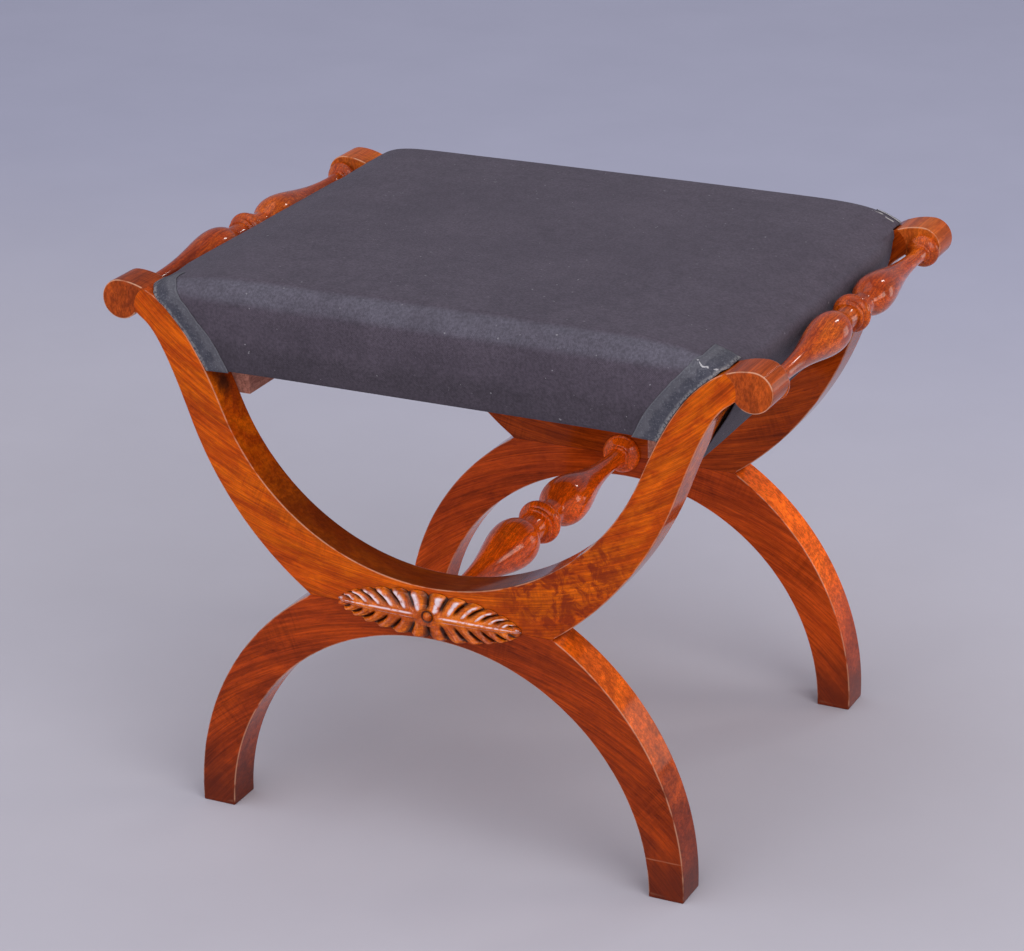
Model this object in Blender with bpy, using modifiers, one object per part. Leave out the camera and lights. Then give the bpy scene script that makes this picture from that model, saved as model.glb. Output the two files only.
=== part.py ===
"""Upholstered X-frame stool of the early nineteenth century, in mahogany.

Two identical frames stand one behind the other. Each is a U-shaped arc whose arms curl out into
scrolls, glued and dowelled on a flat joint to an inverted arch that makes the two feet. Three
turned rails run front to back between them, a rectangular seat frame hangs between the arms, and
a carved leaf rosette hides each joint from outside.

X runs along the frames, left to right. Y runs from the front frame to the rear one. Z is up, and
the feet stand on Z = 0. All sizes are in metres.
"""

import math

import bmesh
import bpy

# The two frames
FRAME_DEPTH = 0.4123
ARC_THICKNESS = 0.0323
ARRIS = 0.0012
ARRIS_ANGLE = math.radians(50.0)

# The leg arch of a frame
ARCH_INNER_RADIUS = 0.190
ARCH_OUTER_RADIUS = 0.236
ARCH_CROWN = 0.0197
FOOT_WIDTH = 0.030
JOINT_HALF_WIDTH = 0.108

# The seat arc of a frame, with its arms
ARC_INNER_RADIUS = 0.1967
ARC_THROAT = 0.0253
ARM_OUTER_RADIUS = 0.286
ARM_WIDTH = 0.032
SHOULDER_ANGLE = math.radians(68.0)

# The scrolls at the ends of the arms, separate pieces with their grain from front to back
SCROLL_RADIUS = 0.0165
SCROLL_REACH = 0.0901
SCROLL_RISE = 0.0820
SCROLL_JOINT_RADIUS = 0.017
SCROLL_JOINT_ANGLE = math.radians(213.0)
SCROLL_NOTCH_ANGLE = math.radians(45.0)
SCROLL_DOWEL_RADIUS = 0.0025
SCROLL_DOWEL_LENGTH = 0.018
SCROLL_DOWEL_SETBACK = 0.0075

# Curves of the arms between the shoulder and the scroll, as shares of their chords
INNER_OGEE_SHARES = (0.47, 0.30)
OUTER_OGEE_SHARES = (0.90, 0.14)
SCROLL_JOINT_SHARE = 0.80

# Dowels across the joint of arc and arch
DOWEL_RADIUS = 0.005
DOWEL_LENGTH = 0.024
DOWEL_PLACE_SHARE = 0.58

# Turned rails between the arms and at the centre
HAND_RAIL_OUTSET = 0.0025
HAND_RAIL_DROP = 0.003
HAND_RAIL_BELLY = 0.0163
HAND_RAIL_NECK = 0.0061
HAND_RAIL_WAIST = 0.0093
HAND_RAIL_BEAD = 0.0158
HAND_RAIL_COLLAR = 0.0129
HAND_RAIL_DOME = 0.0138
HAND_RAIL_TENON = 0.005
HAND_RAIL_TENON_LENGTH = 0.018
STRETCHER_HEIGHT_ABOVE_JOINT = 0.0023
STRETCHER_BELLY = 0.0213
STRETCHER_NECK = 0.0074
STRETCHER_WAIST = 0.0115
STRETCHER_BEAD = 0.0193
STRETCHER_COLLAR = 0.0160
STRETCHER_DOME = 0.0176
STRETCHER_TENON = 0.008
STRETCHER_TENON_LENGTH = 0.022

# Places along half of a turned rail, from its middle, as shares of that half
BELLY_PLACE_SHARE = 0.30
WAIST_PLACE_SHARE = 0.135
NECK_PLACE_SHARE = 0.865
NECK_HANDLE_SHARE = 0.29
BELLY_OUTER_HANDLE_SHARE = 0.13
BELLY_INNER_HANDLE_SHARE = 0.10
WAIST_HANDLE_SHARE = 0.035
DOME_HEIGHT_SHARE = 0.92
BEAD_HALF_WIDTH = 0.0055
BEAD_ROOT_SHARE = 0.72
COLLAR_WIDTH = 0.0042
GROOVE_WIDTH = 0.0008
COLLAR_ROUND_SHARE = 0.3

# The carved rosette over each joint
ROSETTE_HALF_LENGTH = 0.0815
ROSETTE_HALF_HEIGHT = 0.0205
ROSETTE_ABOVE_JOINT = 0.0018
ROSETTE_EDGE = 0.0024
ROSETTE_RELIEF = 0.0046
ROSETTE_FURROW = 0.0030
ROSETTE_LOBES = 6
ROSETTE_LEAN_SHARE = 0.15
ROSETTE_SCALLOP_SHARE = 0.15
ROSETTE_CROWDING = 1.3
ROSETTE_DISH_RADIUS = 0.0078
ROSETTE_DISH_DEPTH = 0.0030
ROSETTE_BUTTON_RADIUS = 0.0038

# The seat frame: two side rails behind the arms, a front and a back rail between them
SIDE_RAIL_BELOW_SCROLL = 0.078
SIDE_RAIL_INSET = 0.009
END_RAIL_BELOW_SCROLL = 0.047
RAIL_TOP_BELOW_SCROLL = 0.015
SIDE_TENON_WIDTH = 0.012
SIDE_TENON_HEIGHT = 0.020
SIDE_TENON_LENGTH = 0.016
SIDE_TENON_RISE = 0.005
SIDE_TENON_COVER = 0.005
TONGUE_WIDTH = 0.0075
TONGUE_LENGTH = 0.008
CORNER_BLOCK_LEG = 0.040
CORNER_BLOCK_HEIGHT = 0.024

# Webbing and base cloth under the stuffing
WEB_WIDTH = 0.050
WEB_THICKNESS = 0.0016
WEB_WAVE = 0.0017
WEB_PITCH_ACROSS = 0.090
WEB_PITCH_ALONG = 0.100
WEB_LAP = 0.024
LONG_WEBS = 4
CROSS_WEBS = 3
BASE_CLOTH_THICKNESS = 0.0010
BASE_CLOTH_MARGIN = 0.0024

# Stuffing and cover
COVER_THICKNESS = 0.0016
COVER_RECESS = 0.0006
COVER_TO_RAIL = 0.0014
COVER_SIDE_INSET = 0.003
COVER_END_RADIUS = 0.020
COVER_SIDE_RADIUS = 0.009
COVER_TOP_ABOVE_SCROLL = 0.027
COVER_SIDE_FALL = 0.015
SIDE_FALL_POWER = 8
COVER_CROWN = 0.0025
HEM_DROP = 0.002
SLIT_CLEARANCE = 0.0005
TAPE_WIDTH = 0.021
TAPE_THICKNESS = 0.0008
TAPE_TOP_ABOVE_SCROLL = 0.022
TAPE_GAP = 0.0006

# Fit between touching pieces, how far a cutter runs past what it cuts, and what counts as one point
FIT = 0.0003
OVERRUN = 0.010
WELD = 0.00001

# Colours of the materials
MAHOGANY = (0.36, 0.10, 0.028)
MAHOGANY_DARK = (0.24, 0.055, 0.018)
BEECH = (0.42, 0.25, 0.13)
BLACK_CLOTH = (0.085, 0.078, 0.088)
TAPE_CLOTH = (0.10, 0.11, 0.13)
JUTE = (0.45, 0.34, 0.20)
WADDING = (0.62, 0.58, 0.50)

# Numbers of facets
ARC_STEPS = 26
ARCH_STEPS = 28
OUTER_STEPS = 11
OGEE_STEPS = 8
SCROLL_STEPS = 14
LATHE_STEPS = 18
DOME_STEPS = 3
TAPER_STEPS = 7
BELLY_STEPS = 5
BEAD_STEPS = 3
DOWEL_STEPS = 12
COVE_STEPS = 72
WEB_STEPS = 24
ROSETTE_STEPS = 8
CUSHION_STEPS_ACROSS = 6
CUSHION_STEPS_ALONG = 4
CUSHION_SIDE_STEPS = 3
CUSHION_END_STEPS = 4
FLAT_ANGLE = math.radians(0.03)
SMOOTH_ANGLE = math.radians(35.0)

# Heights and places that follow from the sizes above
JOINT_Z = ARCH_INNER_RADIUS + ARCH_CROWN
ARC_CENTRE_Z = JOINT_Z + ARC_THROAT + ARC_INNER_RADIUS
SHOULDER_X = ARC_INNER_RADIUS * math.sin(SHOULDER_ANGLE)
SHOULDER_Z = ARC_CENTRE_Z - ARC_INNER_RADIUS * math.cos(SHOULDER_ANGLE)
SCROLL_X = SHOULDER_X + SCROLL_REACH
SCROLL_Z = SHOULDER_Z + SCROLL_RISE
RAIL_X = SCROLL_X + HAND_RAIL_OUTSET
RAIL_Z = SCROLL_Z - HAND_RAIL_DROP
STRETCHER_Z = JOINT_Z + STRETCHER_HEIGHT_ABOVE_JOINT
ROSETTE_Z = JOINT_Z + ROSETTE_ABOVE_JOINT
FACE_Y = FRAME_DEPTH / 2
INNER_Y = FACE_Y - ARC_THICKNESS
SIDE_RAIL_BOTTOM = SCROLL_Z - SIDE_RAIL_BELOW_SCROLL
END_RAIL_BOTTOM = SCROLL_Z - END_RAIL_BELOW_SCROLL
RAIL_TOP = SCROLL_Z - RAIL_TOP_BELOW_SCROLL
WEB_MIDDLE = RAIL_TOP + FIT + WEB_THICKNESS / 2 + WEB_WAVE
BASE_CLOTH_BOTTOM = WEB_MIDDLE + WEB_WAVE + WEB_THICKNESS / 2 + FIT
PAD_BOTTOM = BASE_CLOTH_BOTTOM + BASE_CLOTH_THICKNESS + FIT
COVER_HALF_WIDTH = RAIL_X - HAND_RAIL_BELLY - COVER_TO_RAIL
COVER_HALF_DEPTH = FACE_Y - COVER_RECESS
COVER_FLAT_Z = SCROLL_Z + COVER_TOP_ABOVE_SCROLL
COVER_EDGE_Z = COVER_FLAT_Z - COVER_SIDE_FALL - COVER_SIDE_RADIUS


# Plane geometry, as (x, z) points of the right half

def arc_points(centre, radius, start, end, steps):
    """Points along an arc, both ends included."""
    points = []
    for i in range(steps + 1):
        angle = start + (end - start) * i / steps
        points.append((centre[0] + radius * math.cos(angle), centre[1] + radius * math.sin(angle)))
    return points


def bezier_points(start, start_angle, start_handle, end, end_angle, end_handle, steps):
    """Points along a cubic curve that leaves and arrives at the given angles."""
    first = (start[0] + start_handle * math.cos(start_angle),
             start[1] + start_handle * math.sin(start_angle))
    second = (end[0] - end_handle * math.cos(end_angle),
              end[1] - end_handle * math.sin(end_angle))
    corners = (start, first, second, end)
    points = []
    for i in range(steps + 1):
        t = i / steps
        weights = ((1 - t) ** 3, 3 * t * (1 - t) ** 2, 3 * t * t * (1 - t), t ** 3)
        points.append(tuple(sum(w * p[axis] for w, p in zip(weights, corners)) for axis in (0, 1)))
    return points


def centre_left_of(start, end, radius):
    """Centre, to the left of the line from start to end, of the arc through both."""
    dx = end[0] - start[0]
    dz = end[1] - start[1]
    chord = math.hypot(dx, dz)
    radius = max(radius, chord / 2)
    rise = math.sqrt(radius * radius - chord * chord / 4)
    return ((start[0] + end[0]) / 2 - dz / chord * rise, (start[1] + end[1]) / 2 + dx / chord * rise)


def arc_between(start, end, radius, steps):
    """Points of the arc that bulges to the right of the line from start to end."""
    centre = centre_left_of(start, end, radius)
    first = math.atan2(start[1] - centre[1], start[0] - centre[0])
    last = math.atan2(end[1] - centre[1], end[0] - centre[0])
    if last < first:
        last += 2 * math.pi
    return arc_points(centre, math.dist(centre, start), first, last, steps)


def offset_left(points, distance):
    """The same line moved sideways to its left."""
    moved = []
    for i, point in enumerate(points):
        before = points[max(i - 1, 0)]
        after = points[min(i + 1, len(points) - 1)]
        length = math.dist(before, after)
        moved.append((point[0] - (after[1] - before[1]) / length * distance,
                      point[1] + (after[0] - before[0]) / length * distance))
    return moved


def x_at_height(points, height):
    """Where a rising line of points crosses a height."""
    for low, high in zip(points, points[1:]):
        if low[1] <= height <= high[1]:
            share = (height - low[1]) / (high[1] - low[1])
            return low[0] + share * (high[0] - low[0])
    return points[-1][0]


def between_heights(points, low, high):
    """The stretch of a rising line of points between two heights."""
    inside = [p for p in points if low < p[1] < high]
    return [(x_at_height(points, low), low)] + inside + [(x_at_height(points, high), high)]


def mirrored(points):
    """The left half of a right half, in the opposite order."""
    return [(-x, z) for x, z in reversed(points)]


# The lines that the arms follow

def scroll_joint_start():
    """The point under the scroll where it meets the outside of the arm."""
    return (SCROLL_X + SCROLL_RADIUS * math.cos(SCROLL_JOINT_ANGLE),
            SCROLL_Z + SCROLL_RADIUS * math.sin(SCROLL_JOINT_ANGLE))


def inner_ogee(steps):
    """Inside of an arm from the shoulder up and over to the top of the scroll."""
    shoulder = (SHOULDER_X, SHOULDER_Z)
    top = (SCROLL_X, SCROLL_Z + SCROLL_RADIUS)
    chord = math.dist(shoulder, top)
    return bezier_points(shoulder, SHOULDER_ANGLE, chord * INNER_OGEE_SHARES[0],
                         top, 0.0, chord * INNER_OGEE_SHARES[1], steps)


def inner_arc():
    """Inside of the U, from its lowest point to the right shoulder."""
    return arc_points((0.0, ARC_CENTRE_Z), ARC_INNER_RADIUS, -math.pi / 2,
                      SHOULDER_ANGLE - math.pi / 2, ARC_STEPS // 2)


def arm_inner_line():
    """Inside of the right arm, rising from the bottom of the U to the top of the scroll."""
    return inner_arc() + inner_ogee(OGEE_STEPS + 2)[1:]


def arm_outer_line():
    """Outside of the right arm, rising from the joint to the underside of the scroll."""
    shoulder = (SHOULDER_X + ARM_WIDTH * math.sin(SHOULDER_ANGLE),
                SHOULDER_Z - ARM_WIDTH * math.cos(SHOULDER_ANGLE))
    start = (JOINT_HALF_WIDTH, JOINT_Z + FIT / 2)
    arc = arc_between(start, shoulder, ARM_OUTER_RADIUS, OUTER_STEPS)
    centre = centre_left_of(start, shoulder, ARM_OUTER_RADIUS)
    slope = math.atan2(shoulder[0] - centre[0], centre[1] - shoulder[1])
    end = scroll_joint_start()
    chord = math.dist(shoulder, end)
    ogee = bezier_points(shoulder, slope, chord * OUTER_OGEE_SHARES[0],
                         end, SCROLL_NOTCH_ANGLE, chord * OUTER_OGEE_SHARES[1], OGEE_STEPS)
    return arc + ogee[1:]


def ogee_before_joint():
    """The inner ogee's points as far as the scroll's joint."""
    steps = OGEE_STEPS + 2
    return inner_ogee(steps)[:round(steps * SCROLL_JOINT_SHARE) + 1]


def scroll_joint_centre():
    """Centre of the rounded end of the arm that the scroll is fitted to."""
    return centre_left_of(scroll_joint_start(), ogee_before_joint()[-1], SCROLL_JOINT_RADIUS)


def seat_arc_outline():
    """The whole U, anticlockwise from the middle of its flat joint."""
    outer = arm_outer_line()
    end = ogee_before_joint()[-1]
    joint = arc_between(outer[-1], end, SCROLL_JOINT_RADIUS, OGEE_STEPS // 2)
    inner = list(reversed(inner_arc()[1:] + ogee_before_joint()[1:-1]))
    right = outer + joint[1:] + inner
    bottom = (0.0, ARC_CENTRE_Z - ARC_INNER_RADIUS)
    return right + [bottom] + mirrored(right)


def leg_arch_outline():
    """The whole arch, anticlockwise from the right end of its flat joint."""
    top = (JOINT_HALF_WIDTH, JOINT_Z - FIT / 2)
    foot = (ARCH_INNER_RADIUS + FOOT_WIDTH, 0.0)
    outer = list(reversed(arc_between(foot, top, ARCH_OUTER_RADIUS, OUTER_STEPS)))
    inner = arc_points((0.0, 0.0), ARCH_INNER_RADIUS, 0.0, math.pi / 2, ARCH_STEPS // 2)[:-1]
    clockwise = outer + inner
    crown = (0.0, ARCH_INNER_RADIUS)
    return list(reversed(clockwise + [crown] + mirrored(clockwise)))


def scroll_outline():
    """The right scroll before its joint is cut, anticlockwise from under the arm."""
    turn = arc_points((SCROLL_X, SCROLL_Z), SCROLL_RADIUS, SCROLL_JOINT_ANGLE - 2 * math.pi,
                      math.pi / 2, SCROLL_STEPS)
    steps = OGEE_STEPS + 2
    back = list(reversed(inner_ogee(steps)[round(steps * SCROLL_JOINT_SHARE):-1]))
    return turn + back


def arm_slit_outline():
    """What the seat's soft parts leave free at the right arm."""
    line = [p for p in offset_left(arm_inner_line(), SLIT_CLEARANCE) if p[1] > SHOULDER_Z - ARM_WIDTH]
    outside = SCROLL_X + SCROLL_RADIUS + OVERRUN
    return [(outside, line[0][1])] + [(outside, line[-1][1])] + list(reversed(line))


def cover_side_x(height):
    """Outside of the cover's side panel, which slopes in from the edge to the hem."""
    hem_x = x_at_height(arm_outer_line(), SIDE_RAIL_BOTTOM) - COVER_SIDE_INSET
    share = (height - SIDE_RAIL_BOTTOM) / (COVER_EDGE_Z - SIDE_RAIL_BOTTOM)
    return hem_x + (COVER_HALF_WIDTH - hem_x) * share


# Blender objects

def make_collection(name):
    collection = bpy.data.collections.new(name)
    bpy.context.scene.collection.children.link(collection)
    return collection


def make_material(name, colour, roughness):
    material = bpy.data.materials.new(name)
    material.use_nodes = True
    shader = material.node_tree.nodes["Principled BSDF"]
    shader.inputs["Base Color"].default_value = (*colour, 1.0)
    shader.inputs["Roughness"].default_value = roughness
    return material


def add_object(name, mesh, collection, material=None):
    mesh.shade_smooth()
    mesh.set_sharp_from_angle(angle=SMOOTH_ANGLE)
    if material:
        mesh.materials.append(material)
    obj = bpy.data.objects.new(name, mesh)
    collection.objects.link(obj)
    return obj


def mesh_from(bm, name):
    """Finish a bmesh as a mesh with its faces pointing out."""
    bmesh.ops.recalc_face_normals(bm, faces=bm.faces)
    mesh = bpy.data.meshes.new(name)
    bm.to_mesh(mesh)
    bm.free()
    return mesh


def outline_solid(name, points, low, high, collection, material=None, upright=True):
    """A flat outline of (x, z) points as thick as low to high in Y, or of (x, y) points in Z."""
    curve = bpy.data.curves.new(name, "CURVE")
    curve.dimensions = "2D"
    curve.fill_mode = "BOTH"
    curve.extrude = (high - low) / 2
    spline = curve.splines.new("POLY")
    spline.points.add(len(points) - 1)
    for target, point in zip(spline.points, points):
        target.co = (*point, 0.0, 1.0)
    spline.use_cyclic_u = True
    guide = bpy.data.objects.new(name + "_curve", curve)
    collection.objects.link(guide)
    if upright:
        guide.rotation_euler.x = math.pi / 2
        guide.location.y = (low + high) / 2
    else:
        guide.location.z = (low + high) / 2
    bpy.context.view_layer.update()
    depsgraph = bpy.context.evaluated_depsgraph_get()
    raw = bpy.data.meshes.new_from_object(guide.evaluated_get(depsgraph))
    bm = bmesh.new()
    bm.from_mesh(raw)
    bmesh.ops.remove_doubles(bm, verts=bm.verts, dist=WELD)
    bmesh.ops.dissolve_limit(bm, angle_limit=FLAT_ANGLE, verts=bm.verts, edges=bm.edges)
    obj = add_object(name, mesh_from(bm, name), collection, material)
    obj.matrix_world = guide.matrix_world
    bpy.data.objects.remove(guide)
    bpy.data.curves.remove(curve)
    bpy.data.meshes.remove(raw)
    return obj


def box_solid(name, low, high, collection, material=None):
    bm = bmesh.new()
    bmesh.ops.create_cube(bm, size=1.0)
    for vert in bm.verts:
        vert.co = [low[i] + (vert.co[i] + 0.5) * (high[i] - low[i]) for i in range(3)]
    return add_object(name, mesh_from(bm, name), collection, material)


def peg_solid(name, radius, length, centre, direction, collection, material=None, steps=DOWEL_STEPS):
    """A round peg centred on a point, lying along a direction in the X-Z or Y-Z plane."""
    bm = bmesh.new()
    bmesh.ops.create_cone(bm, cap_ends=True, segments=steps, radius1=radius, radius2=radius, depth=length)
    obj = add_object(name, mesh_from(bm, name), collection, material)
    obj.rotation_euler = direction
    obj.location = centre
    return obj


def turned_solid(name, profile, collection, material):
    """Profile of (radius, height) points, top to bottom, spun about Z by a Screw modifier."""
    mesh = bpy.data.meshes.new(name)
    mesh.from_pydata([(r, 0.0, z) for r, z in profile], [(i, i + 1) for i in range(len(profile) - 1)], [])
    obj = add_object(name, mesh, collection, material)
    screw = obj.modifiers.new("Turning", "SCREW")
    screw.axis = "Z"
    screw.angle = 2 * math.pi
    screw.steps = LATHE_STEPS
    screw.render_steps = LATHE_STEPS
    screw.use_merge_vertices = True
    screw.merge_threshold = WELD
    screw.use_smooth_shade = True
    return obj


def soften_arrises(obj):
    bevel = obj.modifiers.new("Arris", "BEVEL")
    bevel.width = ARRIS
    bevel.segments = 1
    bevel.limit_method = "ANGLE"
    bevel.angle_limit = ARRIS_ANGLE


def cut(obj, *tools):
    """Take all the tools out of a piece in one operation."""
    group = bpy.data.collections.new(obj.name + "_cuts")
    for tool in tools:
        group.objects.link(tool)
    boolean = obj.modifiers.new("Cuts", "BOOLEAN")
    boolean.operation = "DIFFERENCE"
    boolean.solver = "EXACT"
    boolean.operand_type = "COLLECTION"
    boolean.collection = group


def combine(obj, operation, other):
    """Join another shape to a piece, or keep what they share."""
    boolean = obj.modifiers.new(operation.title(), "BOOLEAN")
    boolean.operation = operation
    boolean.solver = "EXACT"
    boolean.object = other


def hide_cutters(collection):
    for obj in collection.objects:
        obj.hide_render = True
        obj.display_type = "WIRE"


# Cutters shared by neighbouring pieces

ACROSS_FRAME = (math.pi / 2, 0.0, 0.0)


def tenon_hole(name, radius, length, x, z, side, cutters):
    """A blind hole in the inner face of the front (side -1) or rear (side 1) frame."""
    depth = length + FIT + OVERRUN
    middle = side * (INNER_Y + (length + FIT - OVERRUN) / 2)
    return peg_solid(name, radius + FIT, depth, (x, middle, z), ACROSS_FRAME, cutters, steps=LATHE_STEPS)


def side_tenon_box(hand, side, clearance):
    """Corners of a side rail's tenon, larger by a clearance for its mortise."""
    low_z = SIDE_RAIL_BOTTOM + SIDE_TENON_RISE - clearance
    high_z = SIDE_RAIL_BOTTOM + SIDE_TENON_RISE + SIDE_TENON_HEIGHT + clearance
    near = x_at_height(arm_inner_line(), high_z) + SIDE_TENON_COVER - clearance
    far = near + SIDE_TENON_WIDTH + 2 * clearance
    start = INNER_Y - OVERRUN
    end = INNER_Y + SIDE_TENON_LENGTH + clearance
    xs = sorted((hand * near, hand * far))
    ys = sorted((side * start, side * end))
    return (xs[0], ys[0], low_z), (xs[1], ys[1], high_z)


def side_rail_inner_x():
    return x_at_height(arm_inner_line(), SIDE_RAIL_BOTTOM) - SIDE_RAIL_INSET


def tongue_box(hand, side, clearance):
    """Corners of the tongue that a side rail slides into an end rail."""
    near = side_rail_inner_x() - clearance
    far = near + TONGUE_WIDTH + 2 * clearance
    low_z = END_RAIL_BOTTOM if clearance == 0.0 else END_RAIL_BOTTOM - OVERRUN
    high_z = RAIL_TOP if clearance == 0.0 else RAIL_TOP + OVERRUN
    xs = sorted((hand * near, hand * far))
    ys = sorted((side * (INNER_Y - OVERRUN), side * (INNER_Y + TONGUE_LENGTH + clearance)))
    return (xs[0], ys[0], low_z), (xs[1], ys[1], high_z)


# The parts of a frame

def frame_piece(name, outline, side, parts, wood):
    """One of the sawn pieces of a frame, as thick as the frame."""
    low, high = sorted((side * FACE_Y, side * INNER_Y))
    piece = outline_solid(name, outline, low, high, parts, wood)
    soften_arrises(piece)
    return piece


def build_scroll(name, hand, side, parts, cutters, wood, dowel_hole):
    outline = scroll_outline() if hand > 0 else mirrored(scroll_outline())
    scroll = frame_piece(name, outline, side, parts, wood)
    centre = scroll_joint_centre()
    reach = math.dist(centre, scroll_joint_start()) + FIT
    cove = peg_solid(name + "_cove", reach, ARC_THICKNESS + 2 * OVERRUN,
                     (hand * centre[0], side * (FACE_Y + INNER_Y) / 2, centre[1]),
                     ACROSS_FRAME, cutters, steps=COVE_STEPS)
    socket = tenon_hole(name + "_socket", HAND_RAIL_TENON, HAND_RAIL_TENON_LENGTH,
                        hand * RAIL_X, RAIL_Z, side, cutters)
    cut(scroll, cove, socket, dowel_hole)


def joint_dowel(name, hand, side, clearance, collection, material=None):
    """An upright dowel across a frame's joint, or the hole for it."""
    centre = (hand * JOINT_HALF_WIDTH * DOWEL_PLACE_SHARE, side * (FACE_Y + INNER_Y) / 2, JOINT_Z)
    return peg_solid(name, DOWEL_RADIUS + clearance, DOWEL_LENGTH + 2 * clearance, centre, (0.0, 0.0, 0.0),
                     collection, material)


def scroll_dowel(name, hand, side, clearance, collection, material=None):
    """A dowel square to the joint between an arm and its scroll."""
    centre = scroll_joint_centre()
    start = scroll_joint_start()
    end = ogee_before_joint()[-1]
    angle = math.atan2((start[1] + end[1]) / 2 - centre[1], (start[0] + end[0]) / 2 - centre[0])
    reach = math.dist(centre, start) + FIT / 2
    place = (hand * (centre[0] + reach * math.cos(angle)), side * (FACE_Y - SCROLL_DOWEL_SETBACK),
             centre[1] + reach * math.sin(angle))
    return peg_solid(name, SCROLL_DOWEL_RADIUS + clearance, SCROLL_DOWEL_LENGTH + 2 * clearance, place,
                     (0.0, hand * (math.pi / 2 - angle), 0.0), collection, material)


def rosette_point(u, v, side):
    """A point of the leaf relief for u along the leaf and v across it, both from -1 to 1."""
    across = abs(v) ** ROSETTE_CROWDING
    swing = abs(u) * (1 - abs(u))
    along = abs(u) + 4 * ROSETTE_LEAN_SHARE * swing * across
    lobe = abs(math.sin(math.pi * ROSETTE_LOBES * abs(u)))
    half = ROSETTE_HALF_HEIGHT * math.sqrt(max(1 - along * along, 0.0))
    scallop = 1 - ROSETTE_SCALLOP_SHARE * (1 - lobe) * across * math.sqrt(4 * swing)
    dome = (1 - across ** 2) * (1 - along ** 4)
    furrow = (1 - lobe) * math.sin(math.pi * across) * (1 - along ** 4)
    height = ROSETTE_EDGE + ROSETTE_RELIEF * dome - ROSETTE_FURROW * furrow
    x = math.copysign(ROSETTE_HALF_LENGTH * along, u)
    z = math.copysign(half * across * scallop, v)
    return (x, side * (FACE_Y + FIT + height), ROSETTE_Z + z)


def build_rosette(name, side, parts, cutters, wood):
    """Two acanthus leaves end to end, carved in one piece, with a button in a dish at the middle."""
    bm = bmesh.new()
    bmesh.ops.create_grid(bm, x_segments=ROSETTE_STEPS * ROSETTE_LOBES, y_segments=ROSETTE_STEPS, size=1.0)
    for vert in bm.verts:
        vert.co = rosette_point(vert.co.x, vert.co.y, side)
    bmesh.ops.remove_doubles(bm, verts=bm.verts, dist=WELD)
    rim = [edge for edge in bm.edges if edge.is_boundary]
    wall = bmesh.ops.extrude_edge_only(bm, edges=rim)
    for vert in wall["geom"]:
        if isinstance(vert, bmesh.types.BMVert):
            vert.co.y = side * (FACE_Y + FIT)
    bmesh.ops.holes_fill(bm, edges=[edge for edge in bm.edges if edge.is_boundary])
    rosette = add_object(name, mesh_from(bm, name), parts, wood)
    bottom = side * (FACE_Y + FIT + ROSETTE_EDGE + ROSETTE_RELIEF - ROSETTE_DISH_DEPTH)
    ball = (ROSETTE_DISH_RADIUS ** 2 + ROSETTE_DISH_DEPTH ** 2) / (2 * ROSETTE_DISH_DEPTH)
    dish = ball_solid(name + "_dish", ball, (0.0, bottom + side * ball, ROSETTE_Z), cutters)
    button = ball_solid(name + "_button", ROSETTE_BUTTON_RADIUS, (0.0, bottom, ROSETTE_Z), cutters)
    cut(rosette, dish)
    combine(rosette, "UNION", button)


def ball_solid(name, radius, centre, collection):
    bm = bmesh.new()
    bmesh.ops.create_uvsphere(bm, u_segments=DOWEL_STEPS, v_segments=ROSETTE_STEPS, radius=radius)
    obj = add_object(name, mesh_from(bm, name), collection)
    obj.rotation_euler.x = math.pi / 2
    obj.location = centre
    return obj


# Turned rails

def half_profile(half, belly, neck, waist, bead, collar, dome, tenon, tenon_length):
    """Profile of half a rail as (radius, height) points, from its end down to its middle."""
    dome_height = dome * DOME_HEIGHT_SHARE
    points = [(0.0, half + tenon_length), (tenon, half + tenon_length), (tenon, half), (dome, half)]
    last = math.asin(min(neck / dome, 1.0))
    for i in range(1, DOME_STEPS + 1):
        angle = math.pi / 2 + (last - math.pi / 2) * i / DOME_STEPS
        points.append((dome * math.sin(angle), half - dome_height * math.cos(angle)))
    down = -math.pi / 2
    widest = (belly, half * BELLY_PLACE_SHARE)
    points += bezier_points((neck, half * NECK_PLACE_SHARE), down, half * NECK_HANDLE_SHARE,
                            widest, down, half * BELLY_OUTER_HANDLE_SHARE, TAPER_STEPS)
    points += bezier_points(widest, down, half * BELLY_INNER_HANDLE_SHARE,
                            (waist, half * WAIST_PLACE_SHARE), down, half * WAIST_HANDLE_SHARE,
                            BELLY_STEPS)[1:]
    collar_top = BEAD_HALF_WIDTH + GROOVE_WIDTH + COLLAR_WIDTH
    root = bead * BEAD_ROOT_SHARE
    slope = COLLAR_WIDTH * COLLAR_ROUND_SHARE
    collar_foot = collar_top - COLLAR_WIDTH
    points += [(waist, collar_top), (collar, collar_top - slope), (collar, collar_foot + slope),
               (root, collar_foot), (root, BEAD_HALF_WIDTH)]
    for i in range(1, BEAD_STEPS):
        angle = math.pi / 2 * i / BEAD_STEPS
        points.append((root + (bead - root) * math.sin(angle), BEAD_HALF_WIDTH * math.cos(angle)))
    return points + [(bead, 0.0)]


def build_rail(name, x, z, parts, **sizes):
    half = half_profile(INNER_Y - FIT, **sizes)
    profile = half + [(r, -h) for r, h in reversed(half[:-1])]
    rail = turned_solid(name, profile, parts, make_material(name, MAHOGANY_DARK, 0.18))
    rail.rotation_euler.x = -math.pi / 2
    rail.location = (x, 0.0, z)


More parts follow.
